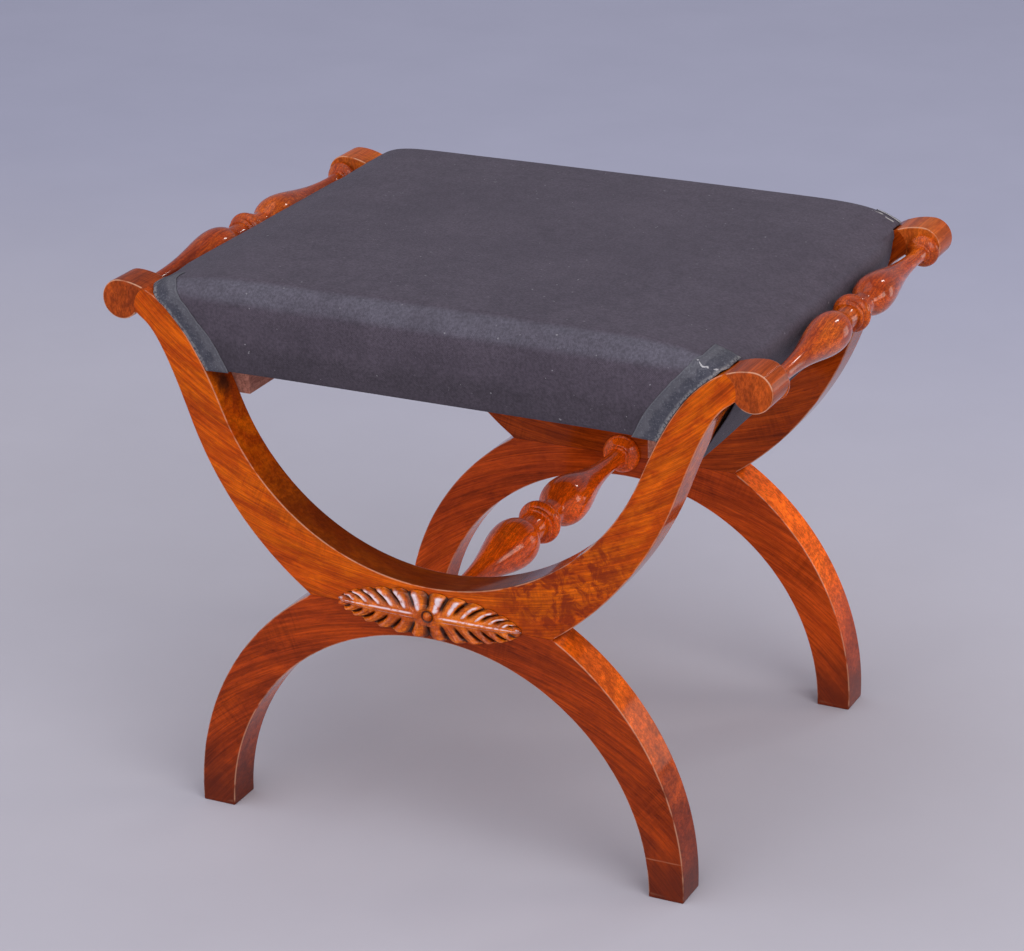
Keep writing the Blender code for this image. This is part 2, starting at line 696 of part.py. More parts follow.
def build_rails(parts):
    hand_rail = dict(belly=HAND_RAIL_BELLY, neck=HAND_RAIL_NECK, waist=HAND_RAIL_WAIST,
                     bead=HAND_RAIL_BEAD, collar=HAND_RAIL_COLLAR, dome=HAND_RAIL_DOME,
                     tenon=HAND_RAIL_TENON, tenon_length=HAND_RAIL_TENON_LENGTH)
    stretcher = dict(belly=STRETCHER_BELLY, neck=STRETCHER_NECK, waist=STRETCHER_WAIST,
                     bead=STRETCHER_BEAD, collar=STRETCHER_COLLAR, dome=STRETCHER_DOME,
                     tenon=STRETCHER_TENON, tenon_length=STRETCHER_TENON_LENGTH)
    build_rail("left_hand_rail", -RAIL_X, RAIL_Z, parts, **hand_rail)
    build_rail("right_hand_rail", RAIL_X, RAIL_Z, parts, **hand_rail)
    build_rail("centre_stretcher", 0.0, STRETCHER_Z, parts, **stretcher)


# The seat frame

def build_side_rail(name, hand, parts, cutters, wood):
    """An upright rail whose outer face leans out with the arms, tenoned into both frames."""
    inner = side_rail_inner_x()
    skin = COVER_THICKNESS + FIT
    outline = [(inner, SIDE_RAIL_BOTTOM), (cover_side_x(SIDE_RAIL_BOTTOM) - skin, SIDE_RAIL_BOTTOM),
               (cover_side_x(RAIL_TOP) - skin, RAIL_TOP), (inner, RAIL_TOP)]
    outline = outline if hand > 0 else mirrored(outline)
    half = INNER_Y - FIT
    rail = outline_solid(name, outline, -half, half, parts, wood)
    for side, word in ((-1, "front"), (1, "rear")):
        combine(rail, "UNION", box_solid(f"{name}_{word}_tenon", *side_tenon_box(hand, side, 0.0), cutters))
        combine(rail, "UNION", box_solid(f"{name}_{word}_tongue", *tongue_box(hand, side, 0.0), cutters))


def build_end_rail(name, side, parts, cutters, wood):
    """A front or back rail, scribed to the curves of the arms and slotted for the side rails."""
    arm = between_heights(arm_inner_line(), END_RAIL_BOTTOM - OVERRUN, RAIL_TOP + OVERRUN)
    line = offset_left(arm, FIT)
    right = between_heights(line, END_RAIL_BOTTOM, RAIL_TOP)
    low, high = sorted((side * (INNER_Y + FIT), side * (COVER_HALF_DEPTH - COVER_THICKNESS - FIT)))
    rail = outline_solid(name, right + mirrored(right), low, high, parts, wood)
    slots = [box_solid(f"{name}_{word}_slot", *tongue_box(hand, side, FIT), cutters)
             for hand, word in ((-1, "left"), (1, "right"))]
    cut(rail, *slots)


def build_corner_block(name, hand, side, parts, wood):
    """A three-sided glue block in a corner of the seat frame."""
    x = side_rail_inner_x() - FIT
    y = INNER_Y
    corners = [(hand * x, side * y), (hand * (x - CORNER_BLOCK_LEG), side * y),
               (hand * x, side * (y - CORNER_BLOCK_LEG))]
    low = END_RAIL_BOTTOM + FIT
    outline_solid(name, corners, low, low + CORNER_BLOCK_HEIGHT, parts, wood, upright=False)


# Webbing, stuffing and cover

def web_height(place, half_length, pitch, crossings, sign):
    """Height of a strap over its middle plane as it weaves, and then lies down on the rail."""
    last = pitch * (crossings - 1) / 2
    wave = sign * WEB_WAVE * math.cos(math.pi * (place + last) / pitch)
    free = last + WEB_WIDTH / 2
    settled = min(max((abs(place) - free) / (half_length - WEB_LAP - free), 0.0), 1.0)
    return wave + (-WEB_WAVE - wave) * settled


def build_web(name, offset, half_length, pitch, crossings, sign, lengthwise, parts, cloth):
    """One strap, woven over and under the straps that cross it."""
    bm = bmesh.new()
    bmesh.ops.create_grid(bm, x_segments=1, y_segments=WEB_STEPS, size=1.0)
    for vert in bm.verts:
        across = offset + vert.co.x * WEB_WIDTH / 2
        place = vert.co.y * half_length
        height = WEB_MIDDLE + web_height(place, half_length, pitch, crossings, sign)
        vert.co = (across, place, height) if lengthwise else (place, across, height)
    web = add_object(name, mesh_from(bm, name), parts, cloth)
    solidify = web.modifiers.new("Thickness", "SOLIDIFY")
    solidify.thickness = WEB_THICKNESS
    solidify.offset = 0.0


def build_webs(parts):
    half_long = INNER_Y + WEB_LAP
    half_cross = side_rail_inner_x() + TONGUE_WIDTH + WEB_LAP
    for i in range(LONG_WEBS):
        name = f"long_web_{i + 1}"
        place = (i - (LONG_WEBS - 1) / 2) * WEB_PITCH_ACROSS
        build_web(name, place, half_long, WEB_PITCH_ALONG, CROSS_WEBS, (-1) ** i, True,
                  parts, make_material(name, JUTE, 0.95))
    for j in range(CROSS_WEBS):
        name = f"cross_web_{j + 1}"
        place = (j - (CROSS_WEBS - 1) / 2) * WEB_PITCH_ALONG
        build_web(name, place, half_cross, WEB_PITCH_ACROSS, LONG_WEBS, -(-1) ** j, False,
                  parts, make_material(name, JUTE, 0.95))


def build_base_cloth(parts, cloth):
    half_x = x_at_height(arm_inner_line(), RAIL_TOP) - BASE_CLOTH_MARGIN
    half_y = COVER_HALF_DEPTH - COVER_THICKNESS - BASE_CLOTH_MARGIN
    box_solid("base_cloth", (-half_x, -half_y, BASE_CLOTH_BOTTOM),
              (half_x, half_y, BASE_CLOTH_BOTTOM + BASE_CLOTH_THICKNESS), parts, cloth)


def eased_places(half, radius, steps, edge_steps):
    """Places across the cushion, closer together towards its edges and following their rounding."""
    inner = half - radius
    places = [inner * math.sin(math.pi / 2 * i / steps) for i in range(steps + 1)]
    places += [inner + radius * math.sin(math.pi / 2 * i / edge_steps) for i in range(1, edge_steps + 1)]
    return [-p for p in reversed(places[1:])] + places


def edge_drop(place, half, radius):
    """How far the rounded edge has fallen at a place."""
    past = min(max(abs(place) - (half - radius), 0.0), radius)
    return radius - math.sqrt(max(radius * radius - past * past, 0.0))


def cushion_height(x, y, inset):
    """Height of the seat's skin, or of the skin moved inwards by inset."""
    half_x = COVER_HALF_WIDTH - inset
    half_y = COVER_HALF_DEPTH - inset
    end_radius = COVER_END_RADIUS - inset
    drop = math.hypot(edge_drop(x, half_x, COVER_SIDE_RADIUS - inset),
                      edge_drop(y, half_y, end_radius))
    fall = COVER_SIDE_FALL * min(abs(x) / (COVER_HALF_WIDTH - COVER_SIDE_RADIUS), 1.0) ** SIDE_FALL_POWER
    crown = COVER_CROWN * (1 - (x / half_x) ** 2) * (1 - (y / half_y) ** 2)
    return COVER_FLAT_Z - inset + crown - fall - min(drop, end_radius)


def cushion_solid(name, inset, bottom, collection, material=None):
    """The crowned seat as one block, its skin moved inwards by inset, and cut level at bottom."""
    half_x = COVER_HALF_WIDTH - inset
    half_y = COVER_HALF_DEPTH - inset
    xs = eased_places(half_x, COVER_SIDE_RADIUS - inset, CUSHION_STEPS_ACROSS, CUSHION_SIDE_STEPS)
    ys = eased_places(half_y, COVER_END_RADIUS - inset, CUSHION_STEPS_ALONG, CUSHION_END_STEPS)
    bm = bmesh.new()
    bmesh.ops.create_grid(bm, x_segments=len(xs) - 1, y_segments=len(ys) - 1, size=1.0)
    for vert in bm.verts:
        x = xs[round((vert.co.x + 1) / 2 * (len(xs) - 1))]
        y = ys[round((vert.co.y + 1) / 2 * (len(ys) - 1))]
        vert.co = (x, y, cushion_height(x, y, inset))
    rim = [edge for edge in bm.edges if edge.is_boundary]
    skirt = bmesh.ops.extrude_edge_only(bm, edges=rim)
    narrowing = (cover_side_x(bottom) - inset) / half_x
    for vert in skirt["geom"]:
        if isinstance(vert, bmesh.types.BMVert):
            vert.co.x *= narrowing
            vert.co.z = bottom
    bmesh.ops.holes_fill(bm, edges=[edge for edge in bm.edges if edge.is_boundary])
    return add_object(name, mesh_from(bm, name), collection, material)


def arm_slits(cutters):
    """Cutters that free the soft parts from the four arms."""
    slits = []
    for side, far in ((-1, "front"), (1, "rear")):
        for hand, word in ((-1, "left"), (1, "right")):
            outline = arm_slit_outline() if hand > 0 else mirrored(arm_slit_outline())
            low, high = sorted((side * (INNER_Y - SLIT_CLEARANCE), side * (FACE_Y + OVERRUN)))
            slits.append(outline_solid(f"{far}_{word}_slit", outline, low, high, cutters))
    return slits


def end_skirt_cutters(cutters):
    """Cutters below the front and back hems, which end higher than the side hems."""
    hem = END_RAIL_BOTTOM - HEM_DROP
    reach = SCROLL_X + SCROLL_RADIUS + OVERRUN
    tools = []
    for side, far in ((-1, "front"), (1, "rear")):
        ys = sorted((side * (INNER_Y - SLIT_CLEARANCE), side * (FACE_Y + OVERRUN)))
        tools.append(box_solid(f"{far}_hem_cutter", (-reach, ys[0], SIDE_RAIL_BOTTOM - OVERRUN),
                               (reach, ys[1], hem), cutters))
    return tools


def build_soft_parts(parts, cutters):
    slits = arm_slits(cutters)
    pad = cushion_solid("seat_pad", COVER_THICKNESS + FIT, PAD_BOTTOM, parts,
                        make_material("seat_pad", WADDING, 0.95))
    cut(pad, *slits)
    cover = cushion_solid("seat_cover", 0.0, SIDE_RAIL_BOTTOM, parts,
                          make_material("seat_cover", BLACK_CLOTH, 0.85))
    inside = cushion_solid("cover_inside", COVER_THICKNESS, SIDE_RAIL_BOTTOM - OVERRUN, cutters)
    cut(cover, inside, *slits, *end_skirt_cutters(cutters))


def tape_outline():
    """Front view of the right tape, from the hem up over the rounded edge of the seat."""
    low = END_RAIL_BOTTOM - HEM_DROP
    high = SCROLL_Z + TAPE_TOP_ABOVE_SCROLL
    line = arm_inner_line()
    near = between_heights(offset_left(line, FIT), low, SCROLL_Z + SCROLL_RADIUS)
    far = between_heights(offset_left(line, FIT + TAPE_WIDTH), low, high)
    return near + [(near[-1][0], high)] + list(reversed(far))


def build_tape(name, hand, side, parts, cutters, cloth):
    """A woven tape over the slit edge of the cover, along the inside of an arm."""
    tape = cushion_solid(name, -TAPE_GAP - TAPE_THICKNESS, SIDE_RAIL_BOTTOM, parts, cloth)
    outline = tape_outline() if hand > 0 else mirrored(tape_outline())
    ys = sorted((side * (COVER_HALF_DEPTH - COVER_END_RADIUS), side * (COVER_HALF_DEPTH + OVERRUN)))
    combine(tape, "INTERSECT", outline_solid(name + "_shape", outline, ys[0], ys[1], cutters))
    cut(tape, cushion_solid(name + "_inside", -TAPE_GAP, SIDE_RAIL_BOTTOM - OVERRUN, cutters))


# The whole stool

def build_frame(side, far, parts, cutters):
    """One of the two frames: its arc, arch, scrolls, rosette and dowels."""
    stretcher_hole = tenon_hole(f"{far}_stretcher_hole", STRETCHER_TENON, STRETCHER_TENON_LENGTH,
                                0.0, STRETCHER_Z, side, cutters)
    arc_cuts = [stretcher_hole]
    arch_cuts = [stretcher_hole]
    for hand, word in ((-1, "left"), (1, "right")):
        name = f"{far}_{word}_scroll"
        scroll_dowel(name + "_dowel", hand, side, 0.0, parts, make_material(name + "_dowel", BEECH, 0.7))
        small_hole = scroll_dowel(name + "_dowel_hole", hand, side, FIT, cutters)
        build_scroll(name, hand, side, parts, cutters, make_material(name, MAHOGANY_DARK, 0.24), small_hole)
        name = f"{far}_{word}_joint_dowel"
        joint_dowel(name, hand, side, 0.0, parts, make_material(name, BEECH, 0.7))
        large_hole = joint_dowel(name + "_hole", hand, side, FIT, cutters)
        mortise = box_solid(f"{far}_{word}_mortise", *side_tenon_box(hand, side, FIT), cutters)
        arc_cuts += [small_hole, large_hole, mortise]
        arch_cuts += [large_hole]
    name = f"{far}_seat_arc"
    cut(frame_piece(name, seat_arc_outline(), side, parts, make_material(name, MAHOGANY, 0.22)), *arc_cuts)
    name = f"{far}_leg_arch"
    cut(frame_piece(name, leg_arch_outline(), side, parts, make_material(name, MAHOGANY, 0.22)), *arch_cuts)
    name = f"{far}_leaf_rosette"
    build_rosette(name, side, parts, cutters, make_material(name, MAHOGANY, 0.22))


def build_seat_frame(parts, cutters):
    for hand, word in ((-1, "left"), (1, "right")):
        name = f"{word}_seat_rail"
        build_side_rail(name, hand, parts, cutters, make_material(name, BEECH, 0.75))
    for side, far in ((-1, "front"), (1, "rear")):
        name = f"{far}_seat_rail"
        build_end_rail(name, side, parts, cutters, make_material(name, BEECH, 0.75))
        for hand, word in ((-1, "left"), (1, "right")):
            name = f"{far}_{word}_corner_block"
            build_corner_block(name, hand, side, parts, make_material(name, BEECH, 0.75))


def build_stool():
    for obj in list(bpy.data.objects):
        bpy.data.objects.remove(obj)
    parts = make_collection("curule_stool")
    cutters = make_collection("cutters")
    for side, far in ((-1, "front"), (1, "rear")):
        build_frame(side, far, parts, cutters)
    build_rails(parts)
    build_seat_frame(parts, cutters)
    build_webs(parts)
    build_base_cloth(parts, make_material("base_cloth", JUTE, 0.95))
    build_soft_parts(parts, cutters)
    for side, far in ((-1, "front"), (1, "rear")):
        for hand, word in ((-1, "left"), (1, "right")):
            name = f"{far}_{word}_edge_tape"
            build_tape(name, hand, side, parts, cutters, make_material(name, TAPE_CLOTH, 0.9))
    hide_cutters(cutters)


build_stool()
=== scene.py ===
import math

import bmesh
import bpy
from mathutils import Matrix, Vector, noise


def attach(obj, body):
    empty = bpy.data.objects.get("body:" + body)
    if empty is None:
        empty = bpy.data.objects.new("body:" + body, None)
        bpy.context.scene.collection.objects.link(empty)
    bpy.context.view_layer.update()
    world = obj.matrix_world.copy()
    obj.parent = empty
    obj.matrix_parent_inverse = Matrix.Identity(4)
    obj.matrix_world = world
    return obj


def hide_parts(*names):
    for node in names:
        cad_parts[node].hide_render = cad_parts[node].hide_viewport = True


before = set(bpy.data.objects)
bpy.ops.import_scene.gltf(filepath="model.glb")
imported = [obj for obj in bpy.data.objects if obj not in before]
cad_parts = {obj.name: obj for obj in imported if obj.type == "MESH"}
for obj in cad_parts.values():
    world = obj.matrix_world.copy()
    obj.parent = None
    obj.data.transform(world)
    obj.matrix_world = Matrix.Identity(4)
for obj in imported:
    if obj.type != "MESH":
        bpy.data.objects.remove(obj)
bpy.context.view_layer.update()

# The photograph's frame and the camera that took it
IMAGE_WIDTH = 1024
FOCAL_PIXELS = 3198.9
SENSOR = 36.0
CLIP_END = 50.0
CAMERA_PLACE = (1.07721, -2.26038, 1.26730)
CAMERA_FORWARD = (-0.40645, 0.83327, -0.37479)
CAMERA_RIGHT = (0.90134, 0.43284, -0.01515)

# Sizes of the wooden frames, as the CAD has them, in metres
FRAME_DEPTH = 0.4123
ARC_THICKNESS = 0.0323
ARCH_INNER_RADIUS = 0.190
ARCH_OUTER_RADIUS = 0.236
ARCH_CROWN = 0.0197
FOOT_WIDTH = 0.030
JOINT_HALF_WIDTH = 0.108
ARC_INNER_RADIUS = 0.1967
ARC_THROAT = 0.0253
ARM_OUTER_RADIUS = 0.286
ARM_WIDTH = 0.032
SHOULDER_ANGLE = math.radians(68.0)
SCROLL_RADIUS = 0.0165
SCROLL_REACH = 0.0901
SCROLL_RISE = 0.0820
SCROLL_JOINT_RADIUS = 0.017
SCROLL_JOINT_ANGLE = math.radians(213.0)
SCROLL_NOTCH_ANGLE = math.radians(45.0)
INNER_OGEE_SHARES = (0.47, 0.30)
OUTER_OGEE_SHARES = (0.90, 0.14)
SCROLL_JOINT_SHARE = 0.80
FIT = 0.0003

# The worn arrises of the frames, pale partly from worn polish and partly as painted highlight
ARRIS = 0.0009
ARRIS_EDGE_SHARE = 0.29
WORN_AND_HIGHLIT_BAND = 0.0008
GLUED_SHARE = 0.12
CORNER_EASE = 0.0012
CORNER_STEPS = 4
SHARP_TURN = math.radians(40.0)
MITRE_LIMIT = 0.4
# Rings over an arris: shares of the arris and of the worn band inwards, the same in depth, and the share
# of worn polish and painted highlight
ARRIS_RINGS = ((1.0, 1.0, 0.0, 0.0, 0.0), (1.0, 0.0, 0.0, 0.0, 0.5),
               (ARRIS_EDGE_SHARE, 0.0, ARRIS_EDGE_SHARE, 0.0, 1.0),
               (0.0, 0.0, 1.0, 0.0, 0.5), (0.0, 0.0, 1.0, 1.0, 0.0))

# Turned rails
HAND_RAIL_OUTSET = 0.0025
HAND_RAIL_DROP = 0.003
STRETCHER_HEIGHT_ABOVE_JOINT = 0.0023
HAND_RAIL = dict(belly=0.0163, neck=0.0061, waist=0.0093, bead=0.0158, collar=0.0129, dome=0.0138)
STRETCHER = dict(belly=0.0213, neck=0.0074, waist=0.0115, bead=0.0193, collar=0.0160, dome=0.0176)
BELLY_PLACE_SHARE = 0.30
WAIST_PLACE_SHARE = 0.135
NECK_PLACE_SHARE = 0.865
NECK_HANDLE_SHARE = 0.29
BELLY_OUTER_HANDLE_SHARE = 0.13
BELLY_INNER_HANDLE_SHARE = 0.10
WAIST_HANDLE_SHARE = 0.035
BEAD_HALF_WIDTH = 0.0055
BEAD_ROOT_SHARE = 0.86
BEAD_EDGE = math.radians(84.0)
GROOVE_WIDTH = 0.0008
COLLAR_WIDTH = 0.0042
COLLAR_ROUND = (math.radians(78.0), -math.radians(75.0))
FLARE_ANGLE = math.radians(35.0)
DOME_HEIGHT_SHARE = 0.62
DOME_EDGE = -math.radians(4.0)
DOME_RING_SHARE = 0.62
DOME_RING_WIDTH = 0.0034
DOME_RING_ROUND = (math.radians(60.0), -math.radians(80.0))
DOME_LIP = 0.0012

# The carved rosette
ROSETTE_HALF_LENGTH = 0.0815
ROSETTE_HALF_HEIGHT = 0.0205
ROSETTE_ABOVE_JOINT = 0.0018
ROSETTE_EDGE = 0.0010
ROSETTE_LEAST = 0.0006
ROSETTE_RELIEF = 0.0042
ROSETTE_LOBES = 7
ROSETTE_LOBE_CROWDING = 0.94
ROSETTE_LEAN_SHARE = 0.21
ROSETTE_LEAN_POWER = 1.4
ROSETTE_END_POWERS = (2.3, 0.62)
ROSETTE_SCALLOP_SHARE = 0.17
ROSETTE_SCALLOP_BAND = (0.35, 1.0)
ROSETTE_SIDE_FALL = 0.75
ROSETTE_NUMBER_FALL = 0.25
ROSETTE_CUT = 0.0048
ROSETTE_CUT_LEVEL = 0.72
ROSETTE_FINGER_POWERS = (1.3, 0.6)
ROSETTE_CUT_BAND = (0.05, 0.45)
ROSETTE_FLUTE = 0.0016
ROSETTE_FLUTE_PLACE = (0.40, 0.13)
ROSETTE_FLUTE_END = (0.95, 0.75)
ROSETTE_TIP_LIFT = 0.0016
ROSETTE_TIP_BAND = (0.55, 0.86)
ROSETTE_TIP_END = (1.0, 0.90)
ROSETTE_RIM_FALL = 0.0022
ROSETTE_MIDRIB = 0.0020
ROSETTE_RIB_HALF_WIDTH = 0.0026
ROSETTE_RIB_TAPER = 0.62
ROSETTE_RIB_GROOVE = 0.0005
ROSETTE_RIB_GROOVE_SHARE = 0.28
ROSETTE_DISH_RADIUS = 0.0080
ROSETTE_DISH_DEPTH = 0.0026
ROSETTE_DISH_BAND = (0.88, 1.12)
ROSETTE_RING = 0.0008
ROSETTE_RING_HALF_WIDTH = 0.0012
ROSETTE_BUTTON_RADIUS = 0.0040
ROSETTE_BUTTON_SHADOW = (ROSETTE_BUTTON_RADIUS * 1.15, 0.0011)

# Where the carving gets painted shade and painted highlight, by the share of a lobe and the place across
BUTTON_SHADOW_SHARE = 0.8
CUT_EDGE = (0.20, 0.02)
CUT_START = (0.12, 0.5)
SHADED_SHARE = 0.55
SHADED_LOBE = (0.45, 0.18)
SHADED_START = (0.15, 0.4)
CREST_PLACE = 0.68
CREST_HALF_WIDTHS = (0.17, 0.11)
CREST_CHANGE = 0.2
CREST_START = (0.15, 0.35)
CREST_END = (1.0, 0.85)
LOWER_CREST_SHARE = 0.2
SPINE_SHARE = 0.8
SPINE_PLACE = (0.085, 0.028)
SPINE_START = (0.10, 0.2)

# The seat; slack, sway and other waves are a size and three stretches
SIDE_RAIL_BELOW_SCROLL = 0.078
END_RAIL_BELOW_SCROLL = 0.047
RAIL_TOP_BELOW_SCROLL = 0.015
COVER_RECESS = 0.0006
COVER_TO_RAIL = 0.0014
COVER_SIDE_INSET = 0.003
COVER_END_RADIUS = 0.020
COVER_SIDE_RADIUS = 0.009
COVER_TOP_ABOVE_SCROLL = 0.027
COVER_SIDE_FALL = 0.015
SIDE_FALL_POWER = 8
REAR_FALL_POWERS = (12, 4)
EDGE_FALL_SHARE = 0.62
SIDE_PULL = 0.009
SIDE_PULL_STARTS = (0.115, 0.125)
SIDE_BULGE = 0.006
SIDE_BULGE_POWER = 1.6
SIDE_SLACK = (0.0006, 14, 20, 5.0)
EDGE_STEP_OUT = 0.0002
EDGE_STEP_DOWN = 0.0003
COVER_CROWN = 0.0025
COVER_SLACK = (0.0007, 9, 11, 3.1)
SKIRT_BELLY = 0.0022
SKIRT_BELLY_BAND = (0.45, 0.8)
SKIRT_EASE_BAND = (0.85, 1.0)
SKIRT_TUCK = 0.0012
SKIRT_TUCK_BAND = (0.25, 0.0)
SKIRT_SLACK = (0.0008, 12, 7.7, 18)
COVER_THICKNESS = 0.0012
HEM_DROP = 0.002
HEM_TURN = 0.014
HEM_STEPS = 3
HEM_NARROWING = 0.995
END_HEM_RISES = (-0.0002, 0.0001, 0.0001)
SIDE_HEM_DROPS = (0.0006, 0.0003, 0.0003)
SLIT_CLEARANCE = 0.0006
TAPE_WIDTH = 0.021
TAPE_WIDTH_CHANGE = (0.0012, 40, 1, 1)
TAPE_FRAY = (0.0005, 900, 3.0, 5.0)
TAPE_THICKNESS = 0.0004
TAPE_GAP = 0.0001
TAPE_LUMPS = (0.0002, 150, 150, 1)
TAPE_TOPS = {(-1, -1): 0.040, (-1, 1): 0.048, (1, -1): 0.022, (1, 1): 0.026}
LIFT_STEP = 0.0005

# Stuffing, webbing and base cloth
STUFFING_GAP = 0.0012
STUFFING_SIDE_GAP = 0.004
STUFFING_END_GAP = 0.008
STUFFING_END_FALL = 0.004
STUFFING_LEAST = 0.006
WEB_WIDTH = 0.050
WEB_THICKNESS = 0.0016
WEB_WAVE = 0.0017
WEB_SWAY = (0.0008, 20, 9, 1)
WEB_CURL = 0.0003
WEB_CLOTH_SHARE = 0.8
WEB_PITCH_ACROSS = 0.090
WEB_PITCH_ALONG = 0.100
WEB_LAP = 0.024
LONG_WEBS = 4
CROSS_WEBS = 3
SIDE_RAIL_INSET = 0.009
TONGUE_WIDTH = 0.0075
BASE_CLOTH_THICKNESS = 0.0010
BASE_CLOTH_SHARE = 0.7
BASE_CLOTH_SIDE_GAP = 0.0024
BASE_CLOTH_END_GAP = 0.0040
BASE_CLOTH_SAG = (0.0005, 30, 30, 1.7)

# Heights and places that follow
JOINT_Z = ARCH_INNER_RADIUS + ARCH_CROWN
ARC_CENTRE_Z = JOINT_Z + ARC_THROAT + ARC_INNER_RADIUS
SHOULDER = (ARC_INNER_RADIUS * math.sin(SHOULDER_ANGLE),
            ARC_CENTRE_Z - ARC_INNER_RADIUS * math.cos(SHOULDER_ANGLE))
SCROLL_X = SHOULDER[0] + SCROLL_REACH
SCROLL_Z = SHOULDER[1] + SCROLL_RISE
RAIL_X = SCROLL_X + HAND_RAIL_OUTSET
RAIL_Z = SCROLL_Z - HAND_RAIL_DROP
STRETCHER_Z = JOINT_Z + STRETCHER_HEIGHT_ABOVE_JOINT
ROSETTE_Z = JOINT_Z + ROSETTE_ABOVE_JOINT
FACE_Y = FRAME_DEPTH / 2
INNER_Y = FACE_Y - ARC_THICKNESS
SIDE_RAIL_BOTTOM = SCROLL_Z - SIDE_RAIL_BELOW_SCROLL
END_RAIL_BOTTOM = SCROLL_Z - END_RAIL_BELOW_SCROLL
RAIL_TOP = SCROLL_Z - RAIL_TOP_BELOW_SCROLL
COVER_HALF_WIDTH = RAIL_X - HAND_RAIL["belly"] - COVER_TO_RAIL
COVER_HALF_DEPTH = FACE_Y - COVER_RECESS
COVER_FLAT_Z = SCROLL_Z + COVER_TOP_ABOVE_SCROLL
COVER_EDGE_Z = COVER_FLAT_Z - COVER_SIDE_FALL - COVER_SIDE_RADIUS
COVER_QUARTER = COVER_END_RADIUS * math.pi / 2
HEM_Z = END_RAIL_BOTTOM - HEM_DROP
SKIRT_TOP_Z = COVER_FLAT_Z - COVER_END_RADIUS
WEB_MIDDLE = RAIL_TOP + FIT + WEB_THICKNESS / 2 + WEB_WAVE
BASE_CLOTH_BOTTOM = WEB_MIDDLE + WEB_WAVE + WEB_THICKNESS / 2 + FIT

# How finely each line and skin is divided
ARC_STEPS = 90
OUTER_STEPS = 60
OGEE_STEPS = 50
JOINT_STEPS = 10
ARCH_STEPS = 90
SCROLL_STEPS = 56
LATHE_STEPS = 72
TURNING_STEPS = dict(lip=4, dome=14, ring=8, neck=4, taper=44, belly=24, flare=5, collar=12, bead=12)
ROSETTE_STEPS = (30 * ROSETTE_LOBES, 68)
TOP_ROWS = 34
TOP_COLUMNS = 40
SKIRT_ROWS = 14
EDGE_ROWS = 10
CORNER_ROWS = 3
SIDE_ROWS = 8
SIDE_SKIRT_ROWS = 12
LIMIT_ROUNDS = 4
TAPE_STEPS = (40, 8)
STUFFING_STEPS = (26, 20)
CLOTH_STEPS = (40, 40)
WEB_STEPS = (60, 4)
WELD = 0.00001

ENDS = ((-1, "front"), (1, "rear"))
HANDS = ((-1, "left"), (1, "right"))


# Plane geometry, as (x, z) points of the right half

def reach(start, angle, length):
    """The point at a length from the start, in the direction of an angle."""
    return start[0] + length * math.cos(angle), start[1] + length * math.sin(angle)


def arc_points(centre, radius, start, end, steps, rise=None):
    """Points along an arc, or an ellipse's where it has a rise of its own, both ends included."""
    rise = radius if rise is None else rise
    points = []
    for i in range(steps + 1):
        angle = start + (end - start) * i / steps
        points.append((centre[0] + radius * math.cos(angle), centre[1] + rise * math.sin(angle)))
    return points


def bezier_points(start, start_angle, start_handle, end, end_angle, end_handle, steps):
    """Points along a cubic curve that leaves and arrives at the given angles."""
    corners = (start, reach(start, start_angle, start_handle), reach(end, end_angle, -end_handle), end)
    points = []
    for i in range(steps + 1):
        t = i / steps
        weights = ((1 - t) ** 3, 3 * t * (1 - t) ** 2, 3 * t * t * (1 - t), t ** 3)
        points.append(tuple(sum(w * p[axis] for w, p in zip(weights, corners)) for axis in (0, 1)))
    return points


def centre_left_of(start, end, radius):
    """Centre, to the left of the line from start to end, of the arc through both."""
    dx = end[0] - start[0]
    dz = end[1] - start[1]
    chord = math.hypot(dx, dz)
    rise = math.sqrt(radius * radius - chord * chord / 4)
    return ((start[0] + end[0]) / 2 - dz / chord * rise, (start[1] + end[1]) / 2 + dx / chord * rise)


def arc_between(start, end, radius, steps):
    """Points of the arc that bulges to the right of the line from start to end."""
    centre = centre_left_of(start, end, radius)
    first = math.atan2(start[1] - centre[1], start[0] - centre[0])
    last = math.atan2(end[1] - centre[1], end[0] - centre[0])
    if last < first:
        last += 2 * math.pi
    return arc_points(centre, radius, first, last, steps)


def x_at_height(points, height):
    """Where a rising line of points crosses a height."""
    for low, high in zip(points, points[1:]):
        if low[1] <= height <= high[1]:
            return low[0] + (height - low[1]) / (high[1] - low[1]) * (high[0] - low[0])
    return points[-1][0]


def mirrored(points):
    """The left half of a right half, in the opposite order."""
    return [(-x, *others) for x, *others in reversed(points)]


def smooth(low, high, value):
    """0 below low, 1 above high, and a soft step between."""
    t = min(max((value - low) / (high - low), 0.0), 1.0)
    return t * t * (3 - 2 * t)


def bell(value, middle, half):
    """1 at the middle, and soon 0 beyond half on either side."""
    return math.exp(-((value - middle) / half) ** 2)


def wobble(wave, *place):
    """A smooth random amount, the same each time for a place."""
    size, *stretches = wave
    return size * noise.noise(Vector([share * stretch for share, stretch in zip(place, stretches)]))


# The lines that the frames follow


def inner_ogee():
    """Inside of an arm from the shoulder up and over to the top of the scroll."""
    top = (SCROLL_X, SCROLL_Z + SCROLL_RADIUS)
    chord = math.dist(SHOULDER, top)
    return bezier_points(SHOULDER, SHOULDER_ANGLE, chord * INNER_OGEE_SHARES[0],
                         top, 0.0, chord * INNER_OGEE_SHARES[1], OGEE_STEPS)


def inner_arc():
    return arc_points((0.0, ARC_CENTRE_Z), ARC_INNER_RADIUS, -math.pi / 2,
                      SHOULDER_ANGLE - math.pi / 2, ARC_STEPS)


